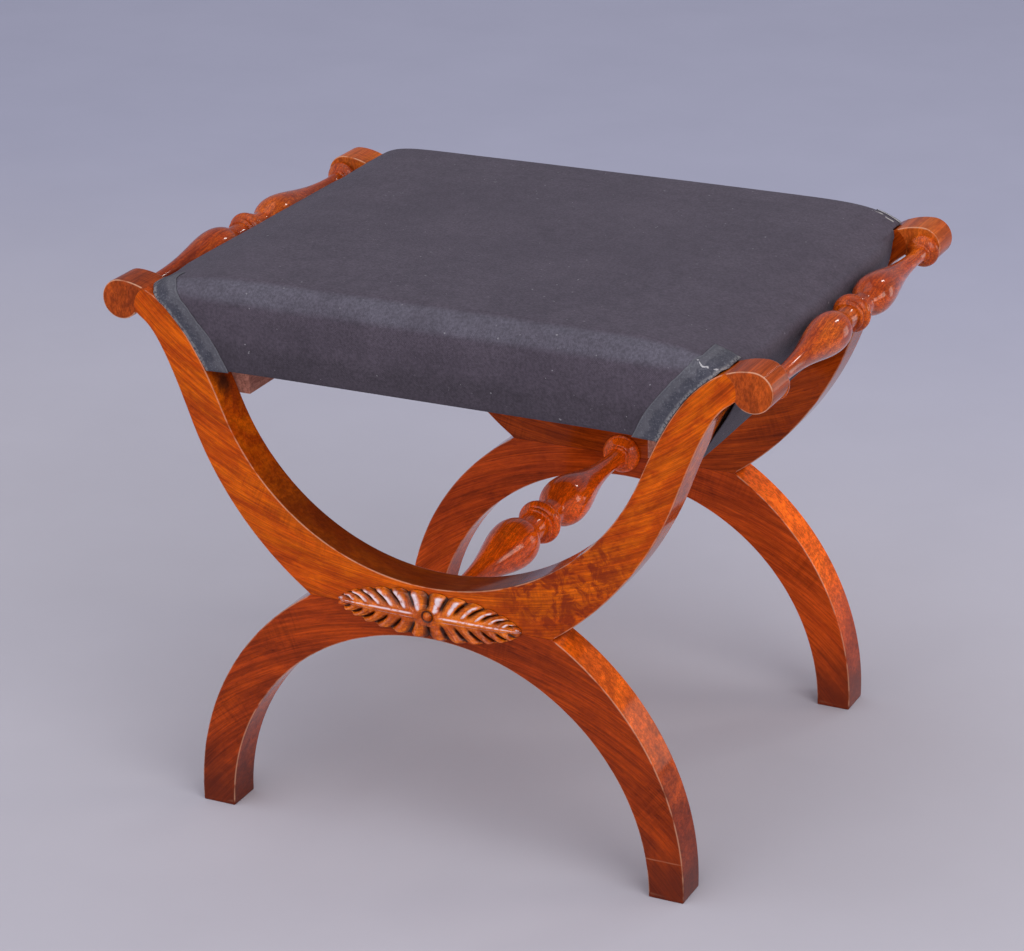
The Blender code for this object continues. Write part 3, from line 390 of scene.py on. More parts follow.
def arm_outer_line():
    """Outside of the right arm, rising from the joint to the underside of the scroll."""
    shoulder = reach(SHOULDER, SHOULDER_ANGLE - math.pi / 2, ARM_WIDTH)
    start = (JOINT_HALF_WIDTH, JOINT_Z + FIT / 2)
    arc = arc_between(start, shoulder, ARM_OUTER_RADIUS, OUTER_STEPS)
    centre = centre_left_of(start, shoulder, ARM_OUTER_RADIUS)
    slope = math.atan2(shoulder[0] - centre[0], centre[1] - shoulder[1])
    end = reach((SCROLL_X, SCROLL_Z), SCROLL_JOINT_ANGLE, SCROLL_RADIUS)
    chord = math.dist(shoulder, end)
    ogee = bezier_points(shoulder, slope, chord * OUTER_OGEE_SHARES[0],
                         end, SCROLL_NOTCH_ANGLE, chord * OUTER_OGEE_SHARES[1], OGEE_STEPS)
    return arc + ogee[1:]


# The right arm: its inside, rising from the bottom of the U, and its outside, rising from the joint
INNER_LINE = inner_arc() + inner_ogee()[1:]
OUTER_LINE = arm_outer_line()
OGEE_JOINT = round(OGEE_STEPS * SCROLL_JOINT_SHARE)


def scroll_joint_line():
    """The rounded end of the arm, from under the scroll to the top of the arm."""
    return arc_between(OUTER_LINE[-1], inner_ogee()[OGEE_JOINT], SCROLL_JOINT_RADIUS, JOINT_STEPS)


def joint_line(z):
    """Half of the flat joint, from the middle to the right end."""
    return [(JOINT_HALF_WIDTH * i / JOINT_STEPS, z) for i in range(JOINT_STEPS)]


def with_shares(*runs):
    """Several lines, each with its share of the arris, as one line of (x, z, share)."""
    return [(x, z, share) for line, share in runs for x, z in line]


def seat_arc_outline():
    """The whole U, anticlockwise from the middle of its flat joint."""
    flat = joint_line(JOINT_Z + FIT / 2)
    inner = list(reversed(inner_arc()[1:] + inner_ogee()[1:OGEE_JOINT]))
    right = with_shares((flat[1:] + OUTER_LINE[:1], GLUED_SHARE), (OUTER_LINE[1:-1], 1.0),
                        (scroll_joint_line(), GLUED_SHARE), (inner, 1.0))
    bottom = (0.0, ARC_CENTRE_Z - ARC_INNER_RADIUS, 1.0)
    return [(*flat[0], GLUED_SHARE)] + right + [bottom] + mirrored(right)


def leg_arch_outline():
    """The whole arch, anticlockwise from the right end of its flat joint."""
    flat = joint_line(JOINT_Z - FIT / 2)
    top = (JOINT_HALF_WIDTH, JOINT_Z - FIT / 2)
    foot = (ARCH_INNER_RADIUS + FOOT_WIDTH, 0.0)
    outer = list(reversed(arc_between(foot, top, ARCH_OUTER_RADIUS, OUTER_STEPS)))
    inner = arc_points((0.0, 0.0), ARCH_INNER_RADIUS, 0.0, math.pi / 2, ARCH_STEPS)
    right = with_shares((flat[1:] + outer[:1], GLUED_SHARE), (outer[1:] + inner[:-1], 1.0))
    crown = (0.0, ARCH_INNER_RADIUS, 1.0)
    return list(reversed([(*flat[0], GLUED_SHARE)] + right + [crown] + mirrored(right)))


def scroll_outline(hand):
    """A scroll; the right one runs anticlockwise from under the arm."""
    free = arc_points((SCROLL_X, SCROLL_Z), SCROLL_RADIUS, SCROLL_JOINT_ANGLE - 2 * math.pi,
                      math.pi / 2, SCROLL_STEPS) + list(reversed(inner_ogee()[OGEE_JOINT:-1]))
    cove = list(reversed(scroll_joint_line()))[1:-1]
    right = with_shares((free[:1], GLUED_SHARE), (free[1:-1], 1.0), (free[-1:] + cove, GLUED_SHARE))
    return right if hand > 0 else mirrored(right)


# Mesh helpers

def finish_piece(bm, name, material, node, smooth_angle=40.0):
    """Make a bmesh the object that stands for a node, smooth but for its sharp edges."""
    obj = object_from(bm, name, material, smooth_angle)
    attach(obj, "root")
    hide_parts(node)
    return obj


def object_from(bm, name, material, smooth_angle=40.0):
    bmesh.ops.recalc_face_normals(bm, faces=bm.faces)
    mesh = bpy.data.meshes.new(name)
    bm.to_mesh(mesh)
    bm.free()
    mesh.shade_smooth()
    mesh.set_sharp_from_angle(angle=math.radians(smooth_angle))
    mesh.materials.append(material)
    obj = bpy.data.objects.new(name, mesh)
    bpy.context.scene.collection.objects.link(obj)
    return obj


def join_lines(bm, lines, turned=False):
    """Quads between neighbouring lines of points."""
    for a, b in zip(lines, lines[1:]):
        for j in range(len(a) - 1):
            bm.faces.new((a[j], a[j + 1], b[j + 1], b[j]) if turned else (a[j], b[j], b[j + 1], a[j + 1]))


def grid_of(bm, steps, place, *marks):
    """Lines of points, placed and marked by their shares of the way along each side."""
    layers = [bm.verts.layers.float.new(mark) for mark in marks]
    lines = []
    for i in range(steps[0] + 1):
        lines.append([])
        for j in range(steps[1] + 1):
            x, y, z, *values = place(i / steps[0], j / steps[1])
            vert = bm.verts.new((x, y, z))
            for layer, value in zip(layers, values):
                vert[layer] = value
            lines[-1].append(vert)
    return lines


def thickness(obj, amount, offset):
    modifier = obj.modifiers.new("Thickness", "SOLIDIFY")
    modifier.thickness = amount
    modifier.offset = offset


def unit(start, end):
    length = math.dist(start, end)
    return ((end[0] - start[0]) / length, (end[1] - start[1]) / length)


def sides_of(points, i):
    """Directions of the outline before and after a point."""
    return unit(points[i - 1], points[i]), unit(points[i], points[(i + 1) % len(points)])


def inset(points, distances):
    """The polygon moved inwards, each point by its own distance."""
    made = []
    for i, (x, z) in enumerate(points):
        before, after = sides_of(points, i)
        k = distances[i] / max(1 + before[0] * after[0] + before[1] * after[1], MITRE_LIMIT)
        made.append((x - (before[1] + after[1]) * k, z + (before[0] + after[0]) * k))
    return made


def sharp_corners(points, shares):
    """Which points of an outline turn sharply and aren't glued."""
    found = []
    for i, share in enumerate(shares):
        before, after = sides_of(points, i)
        bend = math.atan2(before[0] * after[1] - before[1] * after[0],
                          before[0] * after[0] + before[1] * after[1])
        found.append(abs(bend) > SHARP_TURN and share == 1)
    return found


def eased_ring(points, shares, corners, inward):
    """An inset ring as (point, share, turned), its sharp corners rounded."""
    ring = []
    for i, point in enumerate(points):
        if not corners[i]:
            ring.append((point, shares[i], 0.0))
            continue
        before, after = sides_of(points, i)
        ease = max(CORNER_EASE - inward, FIT)
        start = (point[0] - before[0] * ease, point[1] - before[1] * ease)
        end = (point[0] + after[0] * ease, point[1] + after[1] * ease)
        for j in range(CORNER_STEPS + 1):
            t = j / CORNER_STEPS
            mixed = tuple((1 - t) ** 2 * a + 2 * t * (1 - t) * b + t * t * c
                          for a, b, c in zip(start, point, end))
            ring.append((mixed, 1.0, math.sin(math.pi * t)))
    return ring


def sawn_piece(name, outline, side, material, node):
    """A piece sawn from a board, its arrises rounded and marked for worn polish and painted highlight."""
    points = [(x, z) for x, z, _share in outline]
    shares = [share for _x, _z, share in outline]
    corners = sharp_corners(points, shares)
    bm = bmesh.new()
    wear_and_highlight = bm.verts.layers.float.new("wear_and_highlight")
    rings = []
    for back, order in ((False, ARRIS_RINGS), (True, reversed(ARRIS_RINGS))):
        for inward, inward_band, deep, deep_band, worn in order:
            moved_in = ARRIS * inward + WORN_AND_HIGHLIT_BAND * inward_band
            moved = inset(points, [moved_in * share for share in shares])
            ring = []
            for (x, z), share, turned in eased_ring(moved, shares, corners, moved_in):
                depth = ARRIS * deep * share + WORN_AND_HIGHLIT_BAND * deep_band
                depth = ARC_THICKNESS - depth if back else depth
                vert = bm.verts.new((x, side * FACE_Y - side * depth, z))
                vert[wear_and_highlight] = max(worn * share, turned)
                ring.append(vert)
            rings.append(ring)
    join_lines(bm, [ring + ring[:1] for ring in rings], turned=True)
    bm.faces.new(rings[0])
    bm.faces.new(rings[-1])
    return finish_piece(bm, name, material, node)


def build_frames(woods):
    for side, far in ENDS:
        arc, arch, scroll = woods[side]
        sawn_piece(f"{far}_arc_wood", seat_arc_outline(), side, arc, f"{far}_seat_arc")
        sawn_piece(f"{far}_arch_wood", leg_arch_outline(), side, arch, f"{far}_leg_arch")
        for hand, word in HANDS:
            sawn_piece(f"{far}_{word}_scroll_wood", scroll_outline(hand), side, scroll,
                       f"{far}_{word}_scroll")


# Turned rails

def half_profile(half, belly, neck, waist, bead, collar, dome):
    """Profile of half a rail as (radius, place) points, from the frame to the rail's middle."""
    steps = TURNING_STEPS
    down = -math.pi / 2
    lip = (dome - DOME_LIP, half - DOME_LIP)
    ring = dome * DOME_RING_SHARE
    points = [(0.0, half), (dome - DOME_LIP, half)]
    points += arc_points(lip, DOME_LIP, math.pi / 2, 0.0, steps["lip"])
    points += arc_points((0.0, lip[1]), dome, DOME_EDGE, -math.acos(ring / dome), steps["dome"],
                         rise=dome * DOME_HEIGHT_SHARE)
    middle = (ring - DOME_RING_WIDTH / 2, points[-1][1] - DOME_RING_WIDTH / 2)
    points += arc_points(middle, DOME_RING_WIDTH / 2, *DOME_RING_ROUND, steps["ring"])
    thinnest = (neck, half * NECK_PLACE_SHARE)
    points += bezier_points((neck + GROOVE_WIDTH, points[-1][1]), down, GROOVE_WIDTH,
                            thinnest, down, GROOVE_WIDTH, steps["neck"])[:-1]
    widest = (belly, half * BELLY_PLACE_SHARE)
    points += bezier_points(thinnest, down, half * NECK_HANDLE_SHARE,
                            widest, down, half * BELLY_OUTER_HANDLE_SHARE, steps["taper"])
    narrow = (waist, half * WAIST_PLACE_SHARE)
    points += bezier_points(widest, down, half * BELLY_INNER_HANDLE_SHARE,
                            narrow, down, half * WAIST_HANDLE_SHARE, steps["belly"])[1:]
    flare = (waist + GROOVE_WIDTH, BEAD_HALF_WIDTH + GROOVE_WIDTH + COLLAR_WIDTH)
    points += bezier_points(narrow, down, COLLAR_WIDTH / 2,
                            flare, down + FLARE_ANGLE, COLLAR_WIDTH / 4, steps["flare"])[1:]
    points += arc_points((flare[0], flare[1] - COLLAR_WIDTH / 2), collar - flare[0], *COLLAR_ROUND,
                         steps["collar"], rise=COLLAR_WIDTH / 2)
    root = collar * BEAD_ROOT_SHARE
    points.append((root, BEAD_HALF_WIDTH + GROOVE_WIDTH / 2))
    return points + arc_points((root, 0.0), bead - root, BEAD_EDGE, 0.0, steps["bead"],
                               rise=BEAD_HALF_WIDTH)


def turned_rail(name, x, z, sizes, material, node):
    """A rail turned between centres, spun about its axis along Y."""
    half = half_profile(INNER_Y - FIT, **sizes)
    profile = half + [(r, -y) for r, y in reversed(half[:-1])]
    bm = bmesh.new()
    rings = []
    for radius, place in profile[1:-1]:
        rings.append([bm.verts.new((x + radius * math.cos(2 * math.pi * i / LATHE_STEPS), place,
                                    z + radius * math.sin(2 * math.pi * i / LATHE_STEPS)))
                      for i in range(LATHE_STEPS)])
        rings[-1].append(rings[-1][0])
    join_lines(bm, rings, turned=True)
    for (_radius, place), ring in ((profile[0], rings[0]), (profile[-1], rings[-1])):
        centre = bm.verts.new((x, place, z))
        for a, b in zip(ring, ring[1:]):
            bm.faces.new((centre, a, b))
    finish_piece(bm, name, material, node, smooth_angle=38.0)


def build_rails(wood, stretcher_wood):
    for hand, word in HANDS:
        turned_rail(f"{word}_rail_wood", hand * RAIL_X, RAIL_Z, HAND_RAIL, wood, f"{word}_hand_rail")
    turned_rail("stretcher_wood", 0.0, STRETCHER_Z, STRETCHER, stretcher_wood, "centre_stretcher")


# The carved rosettes

def lobe_of(u):
    """Which share of its lobe a place along the leaf lies at, and the lobe's number."""
    phase = ROSETTE_LOBES * abs(u) ** ROSETTE_LOBE_CROWDING
    number = min(int(phase), ROSETTE_LOBES - 1)
    return phase - number, number


def rosette_place(u, v):
    """(along, across) in metres, and the relief, for u along the leaf and v across it."""
    share, number = lobe_of(u)
    across = abs(v)
    swing = abs(u) * (1 - abs(u))
    along = min(abs(u) + 4 * ROSETTE_LEAN_SHARE * swing * across ** ROSETTE_LEAN_POWER, 1.0)
    half = ROSETTE_HALF_HEIGHT * (1 - along ** ROSETTE_END_POWERS[0]) ** ROSETTE_END_POWERS[1]
    notch = 1 - math.sin(math.pi * share) ** 0.5
    scallop = 1 - ROSETTE_SCALLOP_SHARE * notch * smooth(*ROSETTE_SCALLOP_BAND, across)
    x = math.copysign(ROSETTE_HALF_LENGTH * along, u)
    z = math.copysign(half * across * scallop, v)
    return x, z, relief_at(x, z, share, number, across, along)


def relief_at(x, z, share, number, across, along):
    """Height of the carving over the frame's face."""
    body = (1 - ROSETTE_SIDE_FALL * across ** 2) * (1 - along ** 5)
    height = ROSETTE_EDGE + ROSETTE_RELIEF * body * (1 - ROSETTE_NUMBER_FALL * number / ROSETTE_LOBES)
    finger = math.sin(math.pi * share ** ROSETTE_FINGER_POWERS[0])
    depth = smooth(*ROSETTE_CUT_BAND, across)
    height += ROSETTE_CUT * (finger ** ROSETTE_FINGER_POWERS[1] - ROSETTE_CUT_LEVEL) * depth
    height -= (ROSETTE_FLUTE * bell(share, *ROSETTE_FLUTE_PLACE) * depth
               * smooth(*ROSETTE_FLUTE_END, across))
    height += (ROSETTE_TIP_LIFT * smooth(*ROSETTE_TIP_BAND, across) * finger
               * smooth(*ROSETTE_TIP_END, across))
    height -= ROSETTE_RIM_FALL * smooth(ROSETTE_TIP_BAND[1], 1.0, across)
    rib_half = ROSETTE_RIB_HALF_WIDTH * (1 - ROSETTE_RIB_TAPER * along)
    height += ROSETTE_MIDRIB * max(1 - (z / rib_half) ** 2, 0.0) ** 0.5 * (1 - along ** 6)
    height -= ROSETTE_RIB_GROOVE * bell(z, 0.0, rib_half * ROSETTE_RIB_GROOVE_SHARE) * (1 - along)
    away = math.hypot(x, z)
    top = ROSETTE_EDGE + ROSETTE_RELIEF
    dish = top - ROSETTE_DISH_DEPTH * (1 - (away / ROSETTE_DISH_RADIUS) ** 2)
    outside = smooth(*(ROSETTE_DISH_RADIUS * share for share in ROSETTE_DISH_BAND), away)
    height = height * outside + dish * (1 - outside)
    height += ROSETTE_RING * bell(away, ROSETTE_DISH_RADIUS, ROSETTE_RING_HALF_WIDTH)
    if away < ROSETTE_BUTTON_RADIUS:
        ball = math.sqrt(ROSETTE_BUTTON_RADIUS ** 2 - away ** 2)
        height = max(height, top - ROSETTE_DISH_DEPTH + ball)
    return max(height, ROSETTE_LEAST)


def carving_shade_and_highlight(u, v, x, z):
    """How much painted shade a place of the carving gets, in its cuts, round the button and on one side
    of each lobe, and how much painted highlight, on the lobes' crests, mostly the upper ones, and beside
    the midrib.
    """
    share, _number = lobe_of(u)
    away = abs(v)
    cut = smooth(*CUT_EDGE, min(share, 1 - share)) * smooth(*CUT_START, away)
    shaded = SHADED_SHARE * smooth(*SHADED_LOBE, share) * smooth(*SHADED_START, away)
    button = BUTTON_SHADOW_SHARE * bell(math.hypot(x, z), *ROSETTE_BUTTON_SHADOW)
    crest = bell(share, CREST_PLACE, CREST_HALF_WIDTHS[0 if u < CREST_CHANGE else 1])
    crest *= smooth(*CREST_START, away) * smooth(*CREST_END, away)
    crest *= 1.0 if v > 0 else LOWER_CREST_SHARE
    spine = SPINE_SHARE * bell(away, *SPINE_PLACE) * smooth(*SPINE_START, abs(u))
    return max(cut, button, shaded), max(crest, spine)


def build_rosette(side, far, wood):
    def place(i, j):
        u = 2 * i - 1
        v = 2 * j - 1
        x, z, height = rosette_place(u, v)
        return x, side * (FACE_Y + FIT + height), ROSETTE_Z + z, *carving_shade_and_highlight(u, v, x, z)

    bm = bmesh.new()
    join_lines(bm, grid_of(bm, ROSETTE_STEPS, place, "deep", "painted_highlight"))
    bmesh.ops.remove_doubles(bm, verts=bm.verts, dist=WELD)
    wall = bmesh.ops.extrude_edge_only(bm, edges=[edge for edge in bm.edges if edge.is_boundary])
    for vert in wall["geom"]:
        if isinstance(vert, bmesh.types.BMVert):
            vert.co.y = side * (FACE_Y + FIT / 2)
            # The edge wall gets painted shade all over
            vert[bm.verts.layers.float["deep"]] = 1.0
    bmesh.ops.holes_fill(bm, edges=[edge for edge in bm.edges if edge.is_boundary])
    finish_piece(bm, f"{far}_rosette_carving", wood, f"{far}_leaf_rosette",
                 smooth_angle=55.0)


# The seat's skin

def edge_drop(place, half, radius):
    past = min(max(abs(place) - (half - radius), 0.0), radius)
    return radius - math.sqrt(max(radius * radius - past * past, 0.0))


def side_fall(x, y):
    """How far the seat drops towards its sides, later and more sharply at the back."""
    power = SIDE_FALL_POWER + REAR_FALL_POWERS[0 if x < 0 else 1] * smooth(0.0, COVER_HALF_DEPTH, y)
    return COVER_SIDE_FALL * min(abs(x) / (COVER_HALF_WIDTH - COVER_SIDE_RADIUS), 1.0) ** power


def cushion_height(x, y):
    """Height of the seat's skin."""
    drop = math.hypot(edge_drop(x, COVER_HALF_WIDTH, COVER_SIDE_RADIUS),
                      edge_drop(y, COVER_HALF_DEPTH, COVER_END_RADIUS))
    crown = COVER_CROWN * (1 - (x / COVER_HALF_WIDTH) ** 2) * (1 - (y / COVER_HALF_DEPTH) ** 2)
    slack = wobble(COVER_SLACK, x, y, 1) * (1 - abs(y / COVER_HALF_DEPTH) ** 6)
    return COVER_FLAT_Z + crown + slack - side_fall(x, y) - min(drop, COVER_END_RADIUS)


def cover_side_x(height):
    """Outside of the cover's side panel, which slopes in from the edge to the hem."""
    hem_x = x_at_height(OUTER_LINE, SIDE_RAIL_BOTTOM) - COVER_SIDE_INSET
    share = (height - SIDE_RAIL_BOTTOM) / (COVER_EDGE_Z - SIDE_RAIL_BOTTOM)
    return hem_x + (COVER_HALF_WIDTH - hem_x) * share


def arm_x(z):
    """How far the cover reaches towards an arm at a height."""
    return x_at_height(INNER_LINE, z) - SLIT_CLEARANCE


def skirt_bulge(x, z):
    """How far the front or back panel stands proud of the rail it is tacked to."""
    share = (z - HEM_Z) / (SKIRT_TOP_Z - HEM_Z)
    belly = SKIRT_BELLY * smooth(*SKIRT_BELLY_BAND, share) * (1 - smooth(*SKIRT_EASE_BAND, share) / 2)
    tuck = -SKIRT_TUCK * smooth(*SKIRT_TUCK_BAND, share)
    wave = wobble(SKIRT_SLACK, x, 1, z) * math.sin(math.pi * min(max(share, 0.0), 1.0))
    return belly + tuck + wave


def skin_point(x, path, front=1):
    """Point of the front half of the skin, for a distance from the top of the front panel.

    Below 0 it lies on the panel, up to the quarter turn on the rounded edge, and then on the top.
    The back half has front at -1, and its points still lie in front of the middle.
    """
    middle = COVER_HALF_DEPTH - COVER_END_RADIUS
    drop = side_fall(x, -front * middle) * EDGE_FALL_SHARE
    if path <= 0.0:
        z = SKIRT_TOP_Z + path
        side_share = abs(x) / COVER_HALF_WIDTH
        return Vector((x, -COVER_HALF_DEPTH - skirt_bulge(x, z) * (1 - side_share ** 6), z - drop))
    if path < COVER_QUARTER:
        angle = path / COVER_END_RADIUS
        y = -middle - COVER_END_RADIUS * math.cos(angle)
        lift = skirt_bulge(x, SKIRT_TOP_Z) * math.cos(angle) ** 2
        top = cushion_height(x, -front * middle) - COVER_END_RADIUS
        fade = math.sin(angle)
        base = (SKIRT_TOP_Z - drop) * (1 - fade) + top * fade
        return Vector((x, y - lift, base + COVER_END_RADIUS * fade))
    y = -middle + path - COVER_QUARTER
    return Vector((x, y, cushion_height(x, front * y)))


def limit_at(path):
    """Half width of the skin where it lies between the arms."""
    x = arm_x(SKIRT_TOP_Z + min(path, 0.0))
    for _i in range(LIMIT_ROUNDS):
        x = min(arm_x(skin_point(x, path).z), COVER_HALF_WIDTH - COVER_SIDE_RADIUS)
    return x


def path_places():
    """Distances along the front half of the skin, from the hem to the middle, and the slit's end."""
    middle = COVER_QUARTER + COVER_HALF_DEPTH - COVER_END_RADIUS
    slit = middle - (INNER_Y - SLIT_CLEARANCE)
    panel = SKIRT_TOP_Z - HEM_Z
    places = []
    for start, end, rows in ((-panel, 0.0, SKIRT_ROWS), (0.0, COVER_QUARTER, EDGE_ROWS),
                             (COVER_QUARTER, slit, CORNER_ROWS), (slit, middle, TOP_ROWS)):
        places += [start + (end - start) * i / rows for i in range(rows)]
    return places + [middle], slit


def side_places():
    """(x, z) of the skin's rounded edge and side panel, outwards and down."""
    start = COVER_HALF_WIDTH - COVER_SIDE_RADIUS
    places = []
    for i in range(1, SIDE_ROWS + 1):
        angle = math.pi / 2 * i / SIDE_ROWS
        places.append((start + COVER_SIDE_RADIUS * math.sin(angle),
                       COVER_EDGE_Z + COVER_SIDE_RADIUS * math.cos(angle)))
    for i in range(1, SIDE_SKIRT_ROWS + 1):
        z = COVER_EDGE_Z + (SIDE_RAIL_BOTTOM - COVER_EDGE_Z) * i / SIDE_SKIRT_ROWS
        places.append((cover_side_x(z), z))
    return places


def side_point(base, hand, k, x, z):
    """Point k of a side panel, from the edge of the top at base."""
    y = base.y
    pull = (SIDE_PULL * smooth(SIDE_PULL_STARTS[0], INNER_Y, y)
            + SIDE_PULL / 2 * smooth(SIDE_PULL_STARTS[1], INNER_Y, -y))
    share = min(max((z - SIDE_RAIL_BOTTOM) / (COVER_EDGE_Z - SIDE_RAIL_BOTTOM), 0.0), 1.0)
    x += SIDE_BULGE * math.sin(math.pi * share ** SIDE_BULGE_POWER) - pull * share
    x = max(x, base.x * hand + EDGE_STEP_OUT * (k + 1)) if z > COVER_EDGE_Z else x
    x += wobble(SIDE_SLACK, y, z, hand)
    return hand * x, y, min(z, base.z - EDGE_STEP_DOWN * (k + 1))


def build_cover(cloth):
    """The top cloth as one sheet, slit at the four arms, with panels that turn under the rails."""
    places, slit = path_places()
    sides = side_places()
    bm = bmesh.new()
    grid = {}
    rows = [(path, 1) for path in places] + [(path, -1) for path in reversed(places[:-1])]
    slit_limit = limit_at(slit)
    for r, (path, front) in enumerate(rows):
        free = path >= slit
        limit = slit_limit if free else limit_at(path)
        for c in range(-TOP_COLUMNS, TOP_COLUMNS + 1):
            point = skin_point(limit * c / TOP_COLUMNS, path, front)
            grid[(r, c)] = bm.verts.new((point.x, point.y * front, point.z))
        for hand, _word in HANDS if free else ():
            base = grid[(r, hand * TOP_COLUMNS)].co.copy()
            for k, (x, z) in enumerate(sides):
                grid[(r, hand * (TOP_COLUMNS + 1 + k))] = bm.verts.new(side_point(base, hand, k, x, z))
    for r, c in list(grid):
        corners = [(r, c), (r + 1, c), (r + 1, c + 1), (r, c + 1)]
        if all(corner in grid for corner in corners):
            bm.faces.new([grid[corner] for corner in corners])
    turn_under(bm, grid, len(rows) - 1, TOP_COLUMNS + len(sides))
    cover = finish_piece(bm, "seat_cover_cloth", cloth, "seat_cover", smooth_angle=50.0)
    thickness(cover, COVER_THICKNESS, -1.0)
    cover.modifiers.new("Smooth", "SUBSURF").levels = 1
    cover.modifiers["Smooth"].render_levels = 1
    declare_cover(places, slit, slit_limit)


def declare_cover(places, slit, slit_limit):
    """The area of the rectangle that the cover was cut from, less the four corners cut out for the arms,
    worked out but not used.
    """
    side = COVER_SIDE_RADIUS * math.pi / 2 + COVER_EDGE_Z - SIDE_RAIL_BOTTOM + HEM_TURN
    width = 2 * (slit_limit + side)
    panel = HEM_TURN + slit - places[0]
    length = 2 * (panel + places[-1] - slit)
    limits = [limit_at(path) for path in places if path < slit]
    corners = 4 * panel * (width / 2 - sum(limits) / len(limits))
    width * length - corners


def turn_in(bm, line, heights, inward_x, inward_y, narrowing=1.0):
    """Rows of points under a rail, each a step further in than the one before."""
    for z in heights:
        under = [bm.verts.new((vert.co.x * narrowing + inward_x, vert.co.y + inward_y, z))
                 for vert in line]
        join_lines(bm, [line, under], turned=True)
        line = under


def turn_under(bm, grid, last_row, last_column):
    """Turn the hems in under the rails that they are tacked to."""
    step = HEM_TURN / HEM_STEPS
    for row, inward in ((0, step), (last_row, -step)):
        line = [grid[(row, c)] for c in range(-TOP_COLUMNS, TOP_COLUMNS + 1)]
        turn_in(bm, line, [HEM_Z + rise for rise in END_HEM_RISES], 0.0, inward, HEM_NARROWING)
    for hand, _word in HANDS:
        edge = [(r, hand * last_column) for r in range(last_row + 1)]
        line = [grid[corner] for corner in edge if corner in grid]
        turn_in(bm, line, [SIDE_RAIL_BOTTOM - drop for drop in SIDE_HEM_DROPS], -hand * step, 0.0)


def lifted(x, path, lift, front):
    """A point over the skin by a lift, along its normal."""
    along = skin_point(x, path + LIFT_STEP, front) - skin_point(x, path - LIFT_STEP, front)
    across = skin_point(x + LIFT_STEP, path, front) - skin_point(x - LIFT_STEP, path, front)
    return skin_point(x, path, front) + across.cross(along).normalized() * lift


def build_tape(far, side, word, hand, cloth):
    """A tape glued over the slit's edge, from the hem up along the arm and over the seat's edge."""
    bottom = HEM_Z - SKIRT_TOP_Z
    top = TAPE_TOPS[(side, hand)]

    def place(along, across):
        path = bottom + (top - bottom) * along
        width = TAPE_WIDTH + wobble(TAPE_WIDTH_CHANGE, path, hand, side)
        width += wobble(TAPE_FRAY, path, hand, side)
        x = limit_at(path) + SLIT_CLEARANCE / 2 - width * across
        lift = TAPE_GAP + TAPE_LUMPS[0] + wobble(TAPE_LUMPS, path, x, hand + side)
        point = lifted(x, path, lift, -side)
        return hand * point.x, -side * point.y, point.z, across

    bm = bmesh.new()
    join_lines(bm, grid_of(bm, TAPE_STEPS, place, "across"), turned=True)
    tape = finish_piece(bm, f"{far}_{word}_tape_cloth", cloth, f"{far}_{word}_edge_tape",
                        smooth_angle=60.0)
    if (tape.data.polygons[0].normal.y > 0) == (side < 0):
        tape.data.flip_normals()
    thickness(tape, TAPE_THICKNESS, 1.0)
    top - bottom


# Stuffing, base cloth and webbing

def build_stuffing(wadding):
    """The pad under the cover, a crowned closed form that follows the skin."""
    bottom = BASE_CLOTH_BOTTOM + BASE_CLOTH_THICKNESS + FIT
    half_x = arm_x(RAIL_TOP) - STUFFING_SIDE_GAP
    half_y = COVER_HALF_DEPTH - STUFFING_END_GAP

    def low_place(i, j):
        return (half_x * math.sin(math.pi / 2 * (2 * i - 1)),
                half_y * math.sin(math.pi / 2 * (2 * j - 1)), bottom)

    def top_place(i, j):
        x, y, _z = low_place(i, j)
        fall = STUFFING_END_FALL * (abs(y) / half_y) ** 8
        z = cushion_height(x, y) - (COVER_THICKNESS + STUFFING_GAP) - fall
        return x, y, max(z, bottom + STUFFING_LEAST)

    bm = bmesh.new()
    top = grid_of(bm, STUFFING_STEPS, top_place)
    low = grid_of(bm, STUFFING_STEPS, low_place)
    join_lines(bm, top)
    join_lines(bm, low, turned=True)
    for edge in (0, -1):
        join_lines(bm, [top[edge], low[edge]], turned=True)
        join_lines(bm, [[line[edge] for line in top], [line[edge] for line in low]], turned=True)
    pad = finish_piece(bm, "seat_stuffing", wadding, "seat_pad", smooth_angle=60.0)


def build_base_cloth(hessian):
    half_x = x_at_height(INNER_LINE, RAIL_TOP) - BASE_CLOTH_SIDE_GAP
    half_y = COVER_HALF_DEPTH - BASE_CLOTH_END_GAP

    def place(i, j):
        x = half_x * (2 * i - 1)
        y = half_y * (2 * j - 1)
        return x, y, BASE_CLOTH_BOTTOM + BASE_CLOTH_THICKNESS / 2 + wobble(BASE_CLOTH_SAG, x, y, 1)

    bm = bmesh.new()
    join_lines(bm, grid_of(bm, CLOTH_STEPS, place))
    cloth = finish_piece(bm, "base_cloth_hessian", hessian, "base_cloth")
    thickness(cloth, BASE_CLOTH_THICKNESS * BASE_CLOTH_SHARE, 0.0)
    2 * half_x


def web_height(place, half_length, pitch, crossings, sign):
    """Height of a strap over its middle plane as it weaves, and then lies down on the rail."""
    last = pitch * (crossings - 1) / 2
    wave = sign * WEB_WAVE * math.cos(math.pi * (place + last) / pitch)
    free = last + WEB_WIDTH / 2
    settled = min(max((abs(place) - free) / (half_length - WEB_LAP - free), 0.0), 1.0)
    return wave + (-WEB_WAVE - wave) * settled


def build_web(name, offset, half_length, pitch, crossings, sign, lengthwise, cloth):
    """One strap, woven over and under the straps that cross it, its edges a little wavy."""
    def place(i, j):
        along = half_length * (2 * i - 1)
        across = offset + wobble(WEB_SWAY, along, offset, sign) + WEB_WIDTH * (j - 0.5)
        height = web_height(along, half_length, pitch, crossings, sign)
        z = WEB_MIDDLE + height - WEB_CURL * (2 * j - 1) ** 2
        return (across, along, z) if lengthwise else (along, across, z)

    bm = bmesh.new()
    join_lines(bm, grid_of(bm, WEB_STEPS, place), turned=True)
    web = finish_piece(bm, name + "_strap", cloth, name)
    thickness(web, WEB_THICKNESS * WEB_CLOTH_SHARE, 0.0)


